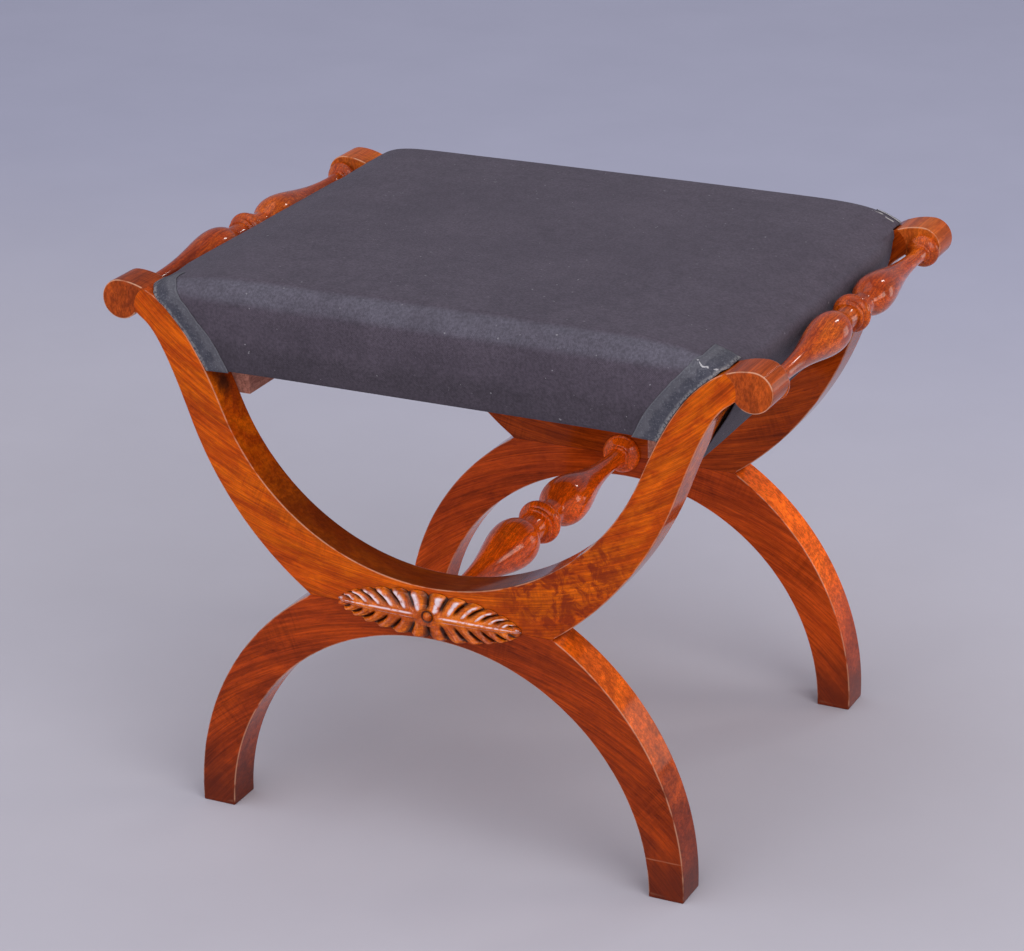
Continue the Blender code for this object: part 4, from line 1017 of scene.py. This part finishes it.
def build_webs(cloth_along, cloth_across):
    half_long = INNER_Y + WEB_LAP
    half_cross = x_at_height(INNER_LINE, SIDE_RAIL_BOTTOM) - SIDE_RAIL_INSET + TONGUE_WIDTH + WEB_LAP
    for i in range(LONG_WEBS):
        build_web(f"long_web_{i + 1}", (i - (LONG_WEBS - 1) / 2) * WEB_PITCH_ACROSS, half_long,
                  WEB_PITCH_ALONG, CROSS_WEBS, (-1) ** i, True, cloth_along)
    for j in range(CROSS_WEBS):
        build_web(f"cross_web_{j + 1}", (j - (CROSS_WEBS - 1) / 2) * WEB_PITCH_ALONG, half_cross,
                  WEB_PITCH_ACROSS, LONG_WEBS, -(-1) ** j, False, cloth_across)


# Materials

class Value:
    """A number, vector or colour on its way through a material's nodes."""

    def __init__(self, nodes, socket):
        self.nodes = nodes
        self.socket = socket

    def math(self, operation, *others):
        return self.nodes.add("ShaderNodeMath", self, *others, operation=operation)

    def vector(self, operation, *others, out="Vector"):
        return self.nodes.add("ShaderNodeVectorMath", self, *others, operation=operation, out=out)

    def split(self):
        split = self.nodes.add("ShaderNodeSeparateXYZ", self)
        return [Value(self.nodes, output) for output in split.socket.node.outputs]

    def __add__(self, other):
        return self.math("ADD", other)

    def __sub__(self, other):
        return self.math("SUBTRACT", other)

    def __mul__(self, other):
        return self.math("MULTIPLY", other)

    def __abs__(self):
        return self.math("ABSOLUTE")

    def step(self, low, high, to_low=0.0, to_high=1.0):
        """A soft step from one value to another between low and high."""
        return self.nodes.add("ShaderNodeMapRange", self, low, high, to_low, to_high,
                              interpolation_type="SMOOTHSTEP")

    def toward(self, other, share):
        return self.nodes.mix(share, self, other)

    def times(self, other, share=1.0):
        return self.nodes.mix(share, self, other, "MULTIPLY")

    def marked(self, mark, *values):
        """Covered by a mark's colour where the soft steps of the values overlap."""
        return self.toward(mark[0], overlap(values, mark[1:]))


def overlap(values, bands):
    """The soft steps of several values, multiplied."""
    share = values[0].step(*bands[0])
    for value, band in zip(values[1:], bands[1:]):
        share = share * value.step(*band)
    return share


class Nodes:
    """The node tree of a material or a world, built by short calls."""

    def __init__(self, name, kind="materials", shader="Principled BSDF", coordinates="Object"):
        self.owner = getattr(bpy.data, kind).new(name)
        self.owner.use_nodes = True
        self.tree = self.owner.node_tree
        self.shader = self.tree.nodes[shader]
        self.place = self.add("ShaderNodeTexCoord", out=coordinates)
        self.x, self.y, self.z = self.place.split()

    def feed(self, socket, value):
        if isinstance(value, Value):
            self.tree.links.new(value.socket, socket)
        elif socket.type == "RGBA":
            socket.default_value = (*value, 1.0)
        elif value is not None:
            socket.default_value = value

    def add(self, kind, *values, out=0, named=(), **settings):
        node = self.tree.nodes.new(kind)
        for key, value in settings.items():
            setattr(node, key, value)
        for socket, value in zip(node.inputs, values):
            self.feed(socket, value)
        for key, value in dict(named).items():
            self.feed(node.inputs[key], value)
        return Value(self, node.outputs[out])

    def join(self, x, y, z):
        return self.add("ShaderNodeCombineXYZ", x, y, z)

    def noise(self, vector=None, scale=1.0, detail=2.0, roughness=0.5, distortion=0.0, out="Fac"):
        named = {"Scale": scale, "Detail": detail, "Roughness": roughness, "Distortion": distortion}
        return self.add("ShaderNodeTexNoise", vector or self.place, out=out, named=named)

    def mix(self, share, a, b, blend="MIX"):
        named = zip((0, 6, 7), (share, a, b))
        return self.add("ShaderNodeMix", out=2, named=named, data_type="RGBA", blend_type=blend)

    def attribute(self, name):
        return self.add("ShaderNodeAttribute", attribute_name=name, out="Fac")

    def finish(self, colour, roughness, relief=None, distance=None, strength=1.0, **uniform):
        """Feed the shader, and set its values that are the same all over."""
        bump = dict(Height=relief, Distance=distance, Strength=strength)
        normal = relief and self.add("ShaderNodeBump", named=bump)
        for key, value in dict(Base_Color=colour, Roughness=roughness, Normal=normal, **uniform).items():
            self.feed(self.shader.inputs[key.replace("_", " ")], value)
        return self.owner


# Bright, middle and dark tones of each wooden part, in linear light; some also hold painted light and
# shade
ARC_TONES = ((0.59, 0.100, 0.001), (0.41, 0.052, 0.001), (0.21, 0.023, 0.001))
ARCH_TONES = ((0.37, 0.044, 0.003), (0.25, 0.028, 0.003), (0.10, 0.011, 0.002))
# The rear frames are toned apart from the front ones as painted light and shade: the rear arch and
# scrolls lighter, the rear arc darker
REAR_ARC_TONES = ((0.38, 0.052, 0.003), (0.28, 0.034, 0.002), (0.13, 0.015, 0.002))
REAR_ARCH_TONES = ((0.52, 0.064, 0.005), (0.39, 0.044, 0.004), (0.18, 0.018, 0.003))
REAR_SCROLL_TONES = ((0.60, 0.125, 0.014), (0.45, 0.080, 0.011), (0.23, 0.033, 0.005))
SCROLL_TONES = ((0.44, 0.072, 0.008), (0.32, 0.050, 0.007), (0.15, 0.022, 0.006))
RAIL_TONES = ((0.63, 0.112, 0.004), (0.43, 0.054, 0.002), (0.18, 0.015, 0.001))
# The stretcher is toned much lighter than the hand rails of the same wood, as painted light against the
# seat's shade over it
STRETCHER_TONES = ((0.95, 0.130, 0.002), (0.74, 0.086, 0.002), (0.30, 0.030, 0.002))
CARVING_TONES = ((0.74, 0.165, 0.006), (0.46, 0.072, 0.003), (0.14, 0.014, 0.002))

# Marks on the wood: the colour, and the soft steps of what it follows
# Pale arrises: partly worn polish, partly painted highlight
WORN_AND_HIGHLIT = (0.66, 0.36, 0.22)
WORN_AND_HIGHLIT_PATCHES = (0.30, 0.55, 0.45, 1.0)
WORN_AND_HIGHLIT_BANDS = ((0.25, 0.95), (0.002, 0.006))
FOOT_DIRT = ((0.070, 0.012, 0.006), (0.050, -0.015, 0.0, 0.75))
FOOT_DIRT_RAGGED = 0.05
FOOT_CRACK = (0.50, 0.20, 0.10)
CRACK_BANDS = ((0.0008, 0.0002), (0.40, 0.60, 0.2, 0.5))
CRACK_RAGGED = 0.002
CRACK_HEIGHT = 0.0353
# Painted light: faces of the arches that turn to the right, above the feet, made brighter and more orange
ARCH_PAINTED_LIGHT_TINT = (2.9, 3.9, 1.8)
ARCH_PAINTED_LIGHT_BANDS = ((0.25, 0.6, 0.0, 0.75), (0.06, 0.15))
DARK_FIGURE = (0.16, 0.014, 0.003)
FLECK_BAND = (0.50, 0.58)
KNOT_BAND = (0.60, 0.42)
KNOT_PLACE = dict(centre=(0.118, -FACE_Y, 0.262), inner=0.030, outer=0.085, share=0.8)
# Painted shade on the low, up-facing inside of the U, under the seat
ARC_PAINTED_SHADE = ((0.085, 0.012, 0.003), (0.30, 0.80, 0.0, 0.72), (0.35, 0.27))
SOOT = (0.030, 0.008, 0.004)
SOOT_PLACE = dict(centre=(-0.186, -0.190, 0.3775), inner=0.004, outer=0.016, share=0.85)
# Painted shade in the carving's cuts, round its button and on the shaded side of each lobe
CARVING_PAINTED_SHADE = ((0.022, 0.005, 0.003), (0.10, 0.85, 0.0, 0.98))
# Painted highlight, whitish, on the crests of the upper lobes and beside the midrib, broken into patches
CARVING_PAINTED_HIGHLIGHT = ((0.80, 0.67, 0.70), (0.08, 0.85, 0.0, 0.92))
CARVING_HIGHLIGHT_PATCHES = (0.36, 0.52, 0.45, 1.0)

# Each pattern in the wood: its stretch along, across and into the grain, and its noise
FLAME = dict(stretch=(8.0, 40.0, 26.0), detail=5.0, roughness=0.62, distortion=0.9)
MOTTLE = dict(stretch=(46.0, 90.0, 40.0), detail=5.0, roughness=0.65, distortion=1.0)
STREAKS = dict(stretch=(13.0, 620.0, 300.0), detail=4.0, roughness=0.72, distortion=0.3)
BANDS = dict(stretch=(5.0, 150.0, 70.0), distortion=0.4)
PORES = dict(stretch=(150.0, 2600.0, 1500.0), detail=1.0)
RIPPLES = dict(stretch=(260.0, 26.0, 50.0), distortion=1.2)
PATCHES = dict(stretch=(11.0, 17.0, 9.0), detail=1.0)
FLECKS = (1150.0, 300.0, 1150.0)
SAWN_GRAIN = (300.0, 40.0, 300.0)

# How the patterns are weighed: soft steps of their noises, and shares
FLAME_SHARE = 0.7
BRIGHT_BAND = (0.44, 0.60)
DARK_BAND = (0.46, 0.33, 0.0, 0.75)
LINE_BANDS = ((0.38, 0.62, 0.64, 1.22), (0.35, 0.65, 0.84, 1.12))
RIPPLE_BAND = (0.40, 0.62, 1.0, 0.74)
PATCH_BAND = (0.52, 0.66, 0.0, 0.75)
PORE_BAND = (0.36, 0.28, 0.0, 0.6)
PORE_TONE = 0.5
EVEN_BAND = (0.35, 0.65)

POLISHED_ROUGHNESS = 0.42
FINE_ROUGHNESS = 0.35
GRAIN_RELIEF = 0.00006
FINE_RELIEF = 0.00004


def polish(roughness, coat=1.0, coat_ior=1.22):
    """French polish: a clear glossy coat over the wood."""
    return dict(IOR=1.4, Specular_IOR_Level=0.02, Coat_Weight=coat, Coat_Roughness=roughness,
                Coat_IOR=coat_ior)


def grain_round(nodes, centre_z, mean_radius):
    """Wood coordinates whose grain runs round a centre in the plane of a frame."""
    rise = nodes.z - centre_z
    radius = nodes.join(nodes.x, 0.0, rise).vector("LENGTH", out="Value")
    return nodes.x.math("ARCTAN2", abs(rise)) * mean_radius, radius, nodes.y


def grain_straight(nodes):
    """Wood coordinates whose grain runs from front to back."""
    return nodes.y, nodes.x, nodes.z


def wood_colour(nodes, grain, tones, figure):
    """Mottled figure, fine streaks, pores and cross ripples of mahogany, and their relief."""
    bright, middle, dark = tones

    def pattern(stretch, **settings):
        return nodes.noise(nodes.join(*(place * size for place, size in zip(grain, stretch))), **settings)

    tone = pattern(**FLAME) * FLAME_SHARE + pattern(**MOTTLE) * (1 - FLAME_SHARE)
    streaks = pattern(**STREAKS)
    pores = pattern(**PORES).step(*PORE_BAND)
    colour = nodes.mix(tone.step(*BRIGHT_BAND), middle, bright).toward(dark, tone.step(*DARK_BAND))
    colour = colour.times(overlap((streaks, pattern(**BANDS)), LINE_BANDS), figure)
    rippled = colour.times(pattern(**RIPPLES).step(*RIPPLE_BAND))
    colour = colour.toward(rippled, pattern(**PATCHES).step(*PATCH_BAND))
    return colour.toward(darker(dark, PORE_TONE), pores), streaks - pores


def darker(colour, share):
    return tuple(part * share for part in colour)


def worn_and_highlit_edges(nodes, colour, amount):
    """Polish worn thin and pale along the arrises, partly worn polish and partly painted highlight, but
    not at the floor.
    """
    wear_and_highlight = nodes.attribute("wear_and_highlight") * nodes.noise(scale=70.0, detail=3.0).step(*WORN_AND_HIGHLIT_PATCHES)
    return colour.toward(WORN_AND_HIGHLIT, overlap((wear_and_highlight, nodes.z), WORN_AND_HIGHLIT_BANDS) * amount)


def spot(nodes, centre, inner, outer, share):
    """The share within a ragged distance of a place on the object, and 0 further out."""
    away = nodes.place.vector("DISTANCE", centre, out="Value")
    ragged = nodes.noise(scale=160.0, detail=4.0) * (outer - inner) + away
    half = (outer - inner) / 2
    return ragged.step(outer + half, inner + half, 0.0, share)


def arch_marks(nodes, normal, colour):
    """Dirt and a crack at the feet, and painted light on the faces that turn to the right, above the
    feet.
    """
    ragged = nodes.noise(scale=45.0, detail=3.0)
    colour = colour.marked(FOOT_DIRT, nodes.z - ragged * FOOT_DIRT_RAGGED)
    line = abs(ragged * CRACK_RAGGED + nodes.z - CRACK_HEIGHT)
    there = nodes.x.math("GREATER_THAN", 0.0) * nodes.y.math("LESS_THAN", ARRIS - FACE_Y)
    colour = colour.toward(FOOT_CRACK, overlap((line, ragged), CRACK_BANDS) * there)
    return colour.toward(colour.times(ARCH_PAINTED_LIGHT_TINT), overlap((normal[0], nodes.z), ARCH_PAINTED_LIGHT_BANDS))


def arc_marks(nodes, normal, colour):
    """Curled figure in the right arm, painted shade on the low, up-facing inside of the U under the seat,
    and a stain by the left seat rail.
    """
    crotch = nodes.noise(scale=78.0, detail=6.0, roughness=0.7, distortion=0.9)
    colour = colour.toward(DARK_FIGURE, crotch.step(*KNOT_BAND) * spot(nodes, **KNOT_PLACE))
    return colour.marked(ARC_PAINTED_SHADE, normal[2], nodes.z).toward(SOOT, spot(nodes, **SOOT_PLACE))


def sawn_wood(name, grain_centre, grain_radius, tones, marks):
    nodes = Nodes(name)
    grain = grain_round(nodes, grain_centre, grain_radius)
    colour, relief = wood_colour(nodes, grain, tones, figure=0.8)
    normal = nodes.add("ShaderNodeNewGeometry", out="Normal").split()
    colour = worn_and_highlit_edges(nodes, marks(nodes, normal, colour), amount=0.50)
    return nodes.finish(colour, POLISHED_ROUGHNESS, relief, GRAIN_RELIEF, **polish(roughness=0.08))


def scroll_wood(name, tones):
    """Wood whose grain runs from front to back, so that end grain shows on the round faces."""
    nodes = Nodes(name)
    colour, relief = wood_colour(nodes, grain_straight(nodes), tones, figure=0.8)
    colour = worn_and_highlit_edges(nodes, colour, amount=0.75)
    return nodes.finish(colour, POLISHED_ROUGHNESS, relief, GRAIN_RELIEF,
                        **polish(roughness=0.12, coat=0.8))


def turned_wood(name, tones, speckle):
    nodes = Nodes(name)
    colour, relief = wood_colour(nodes, grain_straight(nodes), tones, figure=0.9)
    flecks = nodes.noise(nodes.place.vector("MULTIPLY", FLECKS)).step(*FLECK_BAND, 0.0, speckle)
    colour = colour.toward(DARK_FIGURE, flecks)
    return nodes.finish(colour, FINE_ROUGHNESS, relief, FINE_RELIEF,
                        **polish(roughness=0.09, coat_ior=1.36))


def carved_wood():
    nodes = Nodes("carved mahogany")
    grain = grain_round(nodes, ARC_CENTRE_Z, 1.0)
    colour, relief = wood_colour(nodes, grain, CARVING_TONES, figure=0.6)
    highlight_patches = nodes.noise(scale=260.0, detail=3.0).step(*CARVING_HIGHLIGHT_PATCHES)
    # painted shade in the cuts, round the button and on one side of each lobe
    colour = colour.marked(CARVING_PAINTED_SHADE, nodes.attribute("deep"))
    # painted highlight on the lobes' crests, mostly the upper ones, and beside the midrib
    colour = colour.marked(CARVING_PAINTED_HIGHLIGHT, nodes.attribute("painted_highlight") * highlight_patches)
    return nodes.finish(colour, FINE_ROUGHNESS, relief, FINE_RELIEF,
                        **polish(roughness=0.10, coat_ior=1.32))


# Cloths: sizes, colours, and marks as a colour and the soft steps of what it follows
COVER_WEAVE = 0.0016
TAPE_WEAVE = 0.0010
HESSIAN_WEAVE = 0.0024
TWILL_PITCH = 0.0028
TWILL_SHARE = 0.25
HERRINGBONE = 0.005
SLUB_STRETCHES = (60.0, 900.0)
FIBRE_CURL = 0.006
CLOTH_SPECULAR = 0.25
COVER_COLOURS = ((0.067, 0.053, 0.071), (0.079, 0.063, 0.083))
COVER_SHADE_RAGGED = 0.012
# Painted shade: the cover darker below the seat's edge, and darker still lower on the skirts
COVER_PAINTED_SHADE_BANDS = ((0.460, 0.440, 1.0, 0.92), (0.430, 0.416, 1.0, 0.74))
# A paler band along the top of the front and back edges: partly faded, worn cloth and partly painted
# sheen
COVER_EDGE_WEAR_AND_SHEEN = ((0.125, 0.125, 0.156), (0.1885, 0.1965, 0.0, 0.5), (0.4465, 0.4545),
              (0.30, 0.62, 0.65, 1.0))
COVER_NAP = ((0.32, 0.68, 0.76, 1.22), (0.35, 0.65, 0.94, 1.05))
COVER_SLUB = ((0.14, 0.125, 0.15), (0.60, 0.78, 0.0, 0.10))
# Painted shade of the weave, darker by the weave's height
COVER_WEAVE_SHADE = (0.04, 0.034, 0.044)
COVER_WEAVE_SHADE_SHARE = 0.15
COVER_LINT = ((0.30, 0.29, 0.31), (0.765, 0.80, 0.0, 0.6))
COVER_FIBRE = ((0.42, 0.40, 0.38), 0.8)
COVER_SHEEN = (0.75, 0.80, 0.95)
TAPE_COLOURS = ((0.054, 0.054, 0.070), (0.092, 0.090, 0.110))
TAPE_SOIL = ((0.036, 0.038, 0.058), (0.25, 0.50, 0.0, 0.42), (0.90, 0.60))
TAPE_SELVEDGE = ((0.34, 0.33, 0.33), (0.20, 0.05, 0.0, 0.65), (0.43, 0.53))
TAPE_PALE = ((0.112, 0.110, 0.128), (0.82, 0.95, 0.0, 0.6), (1.22, 1.10))
TAPE_FRAYED = ((0.22, 0.22, 0.24), (0.85, 0.92, 0.0, 0.35))
TAPE_RAGGED = 0.12
TAPE_SPECK = ((0.20, 0.205, 0.23), (0.54, 0.64, 0.0, 0.40))
TAPE_SLUB = ((0.20, 0.205, 0.23), (0.58, 0.75, 0.0, 0.12))
TAPE_FIBRE = ((0.50, 0.49, 0.50), 0.85)
JUTE_COLOURS = ((0.20, 0.13, 0.06), (0.45, 0.33, 0.18))
JUTE_BAND = (0.3, 0.8)
HESSIAN_COLOURS = ((0.14, 0.09, 0.045), (0.40, 0.30, 0.17))
HESSIAN_BAND = (0.5, 1.4)
WADDING_COLOURS = ((0.40, 0.36, 0.29), (0.60, 0.55, 0.46))
RAIL_WOOD_COLOURS = ((0.50, 0.21, 0.15), (0.27, 0.10, 0.07))
DOWEL_COLOURS = ((0.52, 0.33, 0.18), (0.36, 0.21, 0.11))
SAW_MARKS = (0.55, 0.7, 0.0, 0.4)
SAW_TONE = 0.4

# Loose fibres on the cloth and the tapes: both ends, and the width
COVER_FIBRES = (((0.1433, -0.2065, 0.3965), (0.1499, -0.2065, 0.3918), 0.0009),
                ((-0.2090, -0.2075, 0.4500), (-0.2045, -0.2080, 0.4420), 0.0007),
                ((0.2260, 0.1870, 0.4620), (0.2325, 0.1872, 0.4602), 0.0011),
                ((0.2372, 0.1852, 0.4580), (0.2440, 0.1848, 0.4550), 0.0014))
TAPE_FIBRES = (((0.2262, -0.1985, 0.4571), (0.2312, -0.2010, 0.4539), 0.0010),
               ((0.2312, -0.2010, 0.4539), (0.2408, -0.1991, 0.4523), 0.0010),
               ((0.2250, 0.1910, 0.4620), (0.2460, 0.1910, 0.4540), 0.0030))


def weave(nodes, pitch):
    """Plain weave as a height from 0 to 1, and its thread-to-thread variation."""
    down = nodes.y - nodes.z
    short, long = SLUB_STRETCHES
    warp = (nodes.x * (2 * math.pi / pitch)).math("SINE")
    weft = (down * (2 * math.pi / pitch)).math("SINE")
    slub = nodes.noise(nodes.join(nodes.x * short, down * long, nodes.z))
    slub_across = nodes.noise(nodes.join(nodes.x * long, down * short, nodes.z))
    return warp * weft * 0.5 + 0.5, slub.math("MAXIMUM", slub_across)


def with_fibres(nodes, colour, lines, tint, share):
    """Curled loose fibres that lie on the cloth, each between two places."""
    for start, end, width in lines:
        run = Vector(end) - Vector(start)
        curl = nodes.noise(scale=180.0, out="Color")
        bent = curl.vector("MULTIPLY_ADD", [FIBRE_CURL] * 3, [-FIBRE_CURL / 2] * 3)
        away = nodes.place.vector("ADD", bent).vector("SUBTRACT", start)
        along = away.vector("DOT_PRODUCT", run / run.length_squared, out="Value")
        held = along.math("MAXIMUM", 0.0).math("MINIMUM", 1.0)
        nearest = nodes.add("ShaderNodeVectorMath", tuple(run), operation="SCALE", named={"Scale": held})
        gap = away.vector("DISTANCE", nearest, out="Value")
        colour = colour.toward(tint, gap.step(width, width / 2, 0.0, share))
    return colour


def cover_cloth():
    nodes = Nodes("charcoal cloth")
    height, slub = weave(nodes, COVER_WEAVE)
    broad = nodes.noise(scale=16.0, detail=4.0, roughness=0.6)
    low = nodes.noise(scale=22.0, detail=3.0) * COVER_SHADE_RAGGED + nodes.z
    fuzz = nodes.noise(scale=420.0, detail=4.0, roughness=0.7)
    mottled = nodes.noise(scale=75.0, detail=3.0)
    lint = nodes.noise(scale=300.0, detail=1.0)
    # painted shade down the skirts
    colour = nodes.mix(broad.step(*EVEN_BAND), *COVER_COLOURS).times(overlap((low, low), COVER_PAINTED_SHADE_BANDS))
    # faded edge and painted sheen along the top of the front and back edges
    colour = colour.marked(COVER_EDGE_WEAR_AND_SHEEN, abs(nodes.y), nodes.z, broad)
    colour = colour.times(overlap((fuzz, mottled), COVER_NAP)).marked(COVER_SLUB, slub)
    colour = colour.toward(COVER_WEAVE_SHADE, height * COVER_WEAVE_SHADE_SHARE).marked(COVER_LINT, lint)
    colour = with_fibres(nodes, colour, COVER_FIBRES, *COVER_FIBRE)
    return nodes.finish(colour, roughness=broad * 0.1 + 0.80, relief=height + slub, distance=0.00025,
                        strength=0.7, Sheen_Weight=0.06, Sheen_Roughness=0.5, Sheen_Tint=COVER_SHEEN,
                        Specular_IOR_Level=CLOTH_SPECULAR)


def tape_cloth():
    """Tape whose edge at the arm is linty, its middle soiled and its free edge frayed."""
    nodes = Nodes("tape cloth")
    height, slub = weave(nodes, TAPE_WEAVE)
    broad = nodes.noise(scale=130.0, detail=4.0, roughness=0.65)
    ravel = nodes.noise(scale=380.0, detail=3.0, roughness=0.7)
    speck = nodes.noise(scale=620.0, detail=3.0, roughness=0.7)
    edge = nodes.attribute("across")
    across = broad * 0.5 + edge
    colour = nodes.mix(broad.step(*EVEN_BAND), *TAPE_COLOURS).marked(TAPE_SOIL, across, across)
    colour = colour.marked(TAPE_SELVEDGE, edge, ravel).marked(TAPE_PALE, across, across)
    colour = colour.marked(TAPE_FRAYED, edge - broad * TAPE_RAGGED).marked(TAPE_SPECK, speck)
    colour = with_fibres(nodes, colour.marked(TAPE_SLUB, slub), TAPE_FIBRES, *TAPE_FIBRE)
    return nodes.finish(colour, roughness=0.88, relief=height + broad, distance=0.0004, strength=0.8,
                        Sheen_Weight=0.05, Specular_IOR_Level=CLOTH_SPECULAR)


def jute(name, lengthwise):
    """Herringbone jute webbing."""
    nodes = Nodes(name)
    along, across = (nodes.y, nodes.x) if lengthwise else (nodes.x, nodes.y)
    zigzag = across.math("PINGPONG", HERRINGBONE)
    twill = ((along + zigzag) * (2 * math.pi / TWILL_PITCH)).math("SINE")
    tone = twill * TWILL_SHARE + nodes.noise(scale=700.0)
    colour = nodes.mix(tone.step(*JUTE_BAND), *JUTE_COLOURS)
    return nodes.finish(colour, roughness=0.95, relief=tone, distance=0.0004)


def hessian_cloth():
    nodes = Nodes("hessian")
    height, slub = weave(nodes, HESSIAN_WEAVE)
    colour = nodes.mix((height + slub).step(*HESSIAN_BAND), *HESSIAN_COLOURS)
    return nodes.finish(colour, roughness=0.95, relief=height + slub, distance=0.0005)


def wadding_cloth():
    nodes = Nodes("wadding")
    fluff = nodes.noise(scale=90.0, detail=5.0)
    return nodes.finish(nodes.mix(fluff, *WADDING_COLOURS), roughness=1.0, relief=fluff, distance=0.002)


def bare_wood(name, bright, dark):
    """Rough sawn softwood or beech, aged, with saw marks across the grain."""
    nodes = Nodes(name)
    grain = nodes.noise(nodes.place.vector("MULTIPLY", SAWN_GRAIN), detail=4.0, roughness=0.7)
    saw = nodes.noise(scale=420.0)
    colour = nodes.mix(grain.step(*EVEN_BAND), dark, bright)
    colour = colour.toward(darker(dark, SAW_TONE), saw.step(*SAW_MARKS))
    return nodes.finish(colour, roughness=0.8, relief=grain + saw, distance=0.0004)


def dress_cad_nodes(endings, material):
    for name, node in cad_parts.items():
        if name.endswith(endings):
            node.data.materials.clear()
            node.data.materials.append(material)


# Floor, lights and camera
FLOOR_SIZE = 25.0
# The floor runs darker and bluer towards the back, its darkening painted shade for the light falling off
FLOOR_NEAR = ((0.50, 0.485, 0.535), (0.55, 0.535, 0.59))
FLOOR_FAR_SHADED = ((0.395, 0.40, 0.505), (0.44, 0.445, 0.555))
FLOOR_SHADE_CHANGE = (0.1, 1.6)
# The world's light at the front and behind, and where on the way it starts and ends changing
WORLD_STOPS = ((0.05, (1.04, 1.04, 1.12, 1.0)), (0.90, (0.24, 0.24, 0.29, 1.0)))
# Each light's name, place, target, size, watts and colour
LIGHTS = (("overhead", (-0.3, 0.2, 3.2), (0.0, 0.0, 0.3), (2.6, 2.6), 15.0, (0.97, 0.98, 1.0)),
          ("key", (2.4, -1.6, 2.3), (0.0, -0.1, 0.3), (2.0, 2.0), 30.0, (1.0, 0.97, 0.94)),
          ("fill", (-0.6, -3.6, 0.8), (0.0, 0.0, 0.3), (2.2, 1.0), 20.0, (1.0, 0.98, 0.97)),
          ("side", (2.4, 1.1, 0.9), (0.2, 0.0, 0.35), (0.8, 0.8), 9.0, (1.0, 0.92, 0.80)),
          ("glint", (0.9, 2.2, 1.9), (0.2, 0.0, 0.4), (0.16, 0.30), 3.2, (1.0, 0.97, 0.93)),
          ("window", (1.05, 1.25, 0.36), (0.25, 0.0, 0.40), (0.30, 0.55), 0.8, (1.0, 0.95, 0.88)))


def build_floor():
    nodes = Nodes("floor")
    cloudy = nodes.noise(scale=5.0, detail=6.0, roughness=0.6)
    far = nodes.mix(cloudy, *FLOOR_FAR_SHADED)
    # painted shade towards the back of the floor
    colour = nodes.mix(cloudy, *FLOOR_NEAR).toward(far, nodes.y.step(*FLOOR_SHADE_CHANGE))
    bm = bmesh.new()
    bmesh.ops.create_grid(bm, x_segments=1, y_segments=1, size=FLOOR_SIZE)
    floor = object_from(bm, "floor", nodes.finish(colour, roughness=0.9, Specular_IOR_Level=0.1))


def build_world():
    nodes = Nodes("studio", "worlds", "Background", "Generated")
    ramp = nodes.add("ShaderNodeValToRGB", nodes.y * 0.5 + 0.5)
    colours = ramp.socket.node.color_ramp
    colours.interpolation = "EASE"
    for element, (position, colour) in zip(colours.elements, WORLD_STOPS):
        element.position = position
        element.color = colour
    nodes.feed(nodes.shader.inputs["Color"], ramp)
    bpy.context.scene.world = nodes.owner


def area_light(name, place, target, size, power, colour):
    data = bpy.data.lights.new(name, "AREA")
    data.shape = "RECTANGLE"
    data.size, data.size_y = size
    data.energy = power
    data.color = colour
    light = bpy.data.objects.new(name, data)
    light.location = place
    light.rotation_euler = (Vector(target) - Vector(place)).to_track_quat("-Z", "Y").to_euler()
    light.visible_camera = False
    bpy.context.scene.collection.objects.link(light)


def build_camera():
    data = bpy.data.cameras.new("camera")
    data.sensor_width = SENSOR
    data.lens = FOCAL_PIXELS / IMAGE_WIDTH * SENSOR
    data.clip_end = CLIP_END
    camera = bpy.data.objects.new("camera", data)
    forward = Vector(CAMERA_FORWARD).normalized()
    right = Vector(CAMERA_RIGHT).normalized()
    matrix = Matrix((right, right.cross(forward), -forward)).transposed().to_4x4()
    matrix.translation = Vector(CAMERA_PLACE)
    camera.matrix_world = matrix
    bpy.context.scene.collection.objects.link(camera)
    bpy.context.scene.camera = camera


# The whole scene

# Height of the centre that the grain of each piece runs round, and its mean radius
ARC_GRAIN = (ARC_CENTRE_Z + 0.26, 0.46)
ARCH_GRAIN = (-0.16, 0.36)


def frame_woods(word, arc_tones, arch_tones, scroll_tones):
    return (sawn_wood(word + "arc mahogany", *ARC_GRAIN, arc_tones, arc_marks),
            sawn_wood(word + "arch mahogany", *ARCH_GRAIN, arch_tones, arch_marks),
            scroll_wood(word + "scroll mahogany", scroll_tones))


def build_scene():
    bpy.context.scene.view_settings.view_transform = "Standard"
    build_camera()
    build_floor()
    build_world()
    for light in LIGHTS:
        area_light(*light)
    build_frames({-1: frame_woods("", ARC_TONES, ARCH_TONES, SCROLL_TONES),
                  1: frame_woods("rear ", REAR_ARC_TONES, REAR_ARCH_TONES, REAR_SCROLL_TONES)})
    build_rails(turned_wood("turned mahogany", RAIL_TONES, speckle=0.50),
                turned_wood("stretcher mahogany", STRETCHER_TONES, speckle=0.30))
    carving = carved_wood()
    for side, far in ENDS:
        build_rosette(side, far, carving)
    build_cover(cover_cloth())
    tape = tape_cloth()
    for side, far in ENDS:
        for hand, word in HANDS:
            build_tape(far, side, word, hand, tape)
    build_stuffing(wadding_cloth())
    build_base_cloth(hessian_cloth())
    build_webs(jute("jute along", True), jute("jute across", False))
    dress_cad_nodes(("seat_rail", "corner_block"), bare_wood("rail wood", *RAIL_WOOD_COLOURS))
    dress_cad_nodes("dowel", bare_wood("dowel wood", *DOWEL_COLOURS))


build_scene()
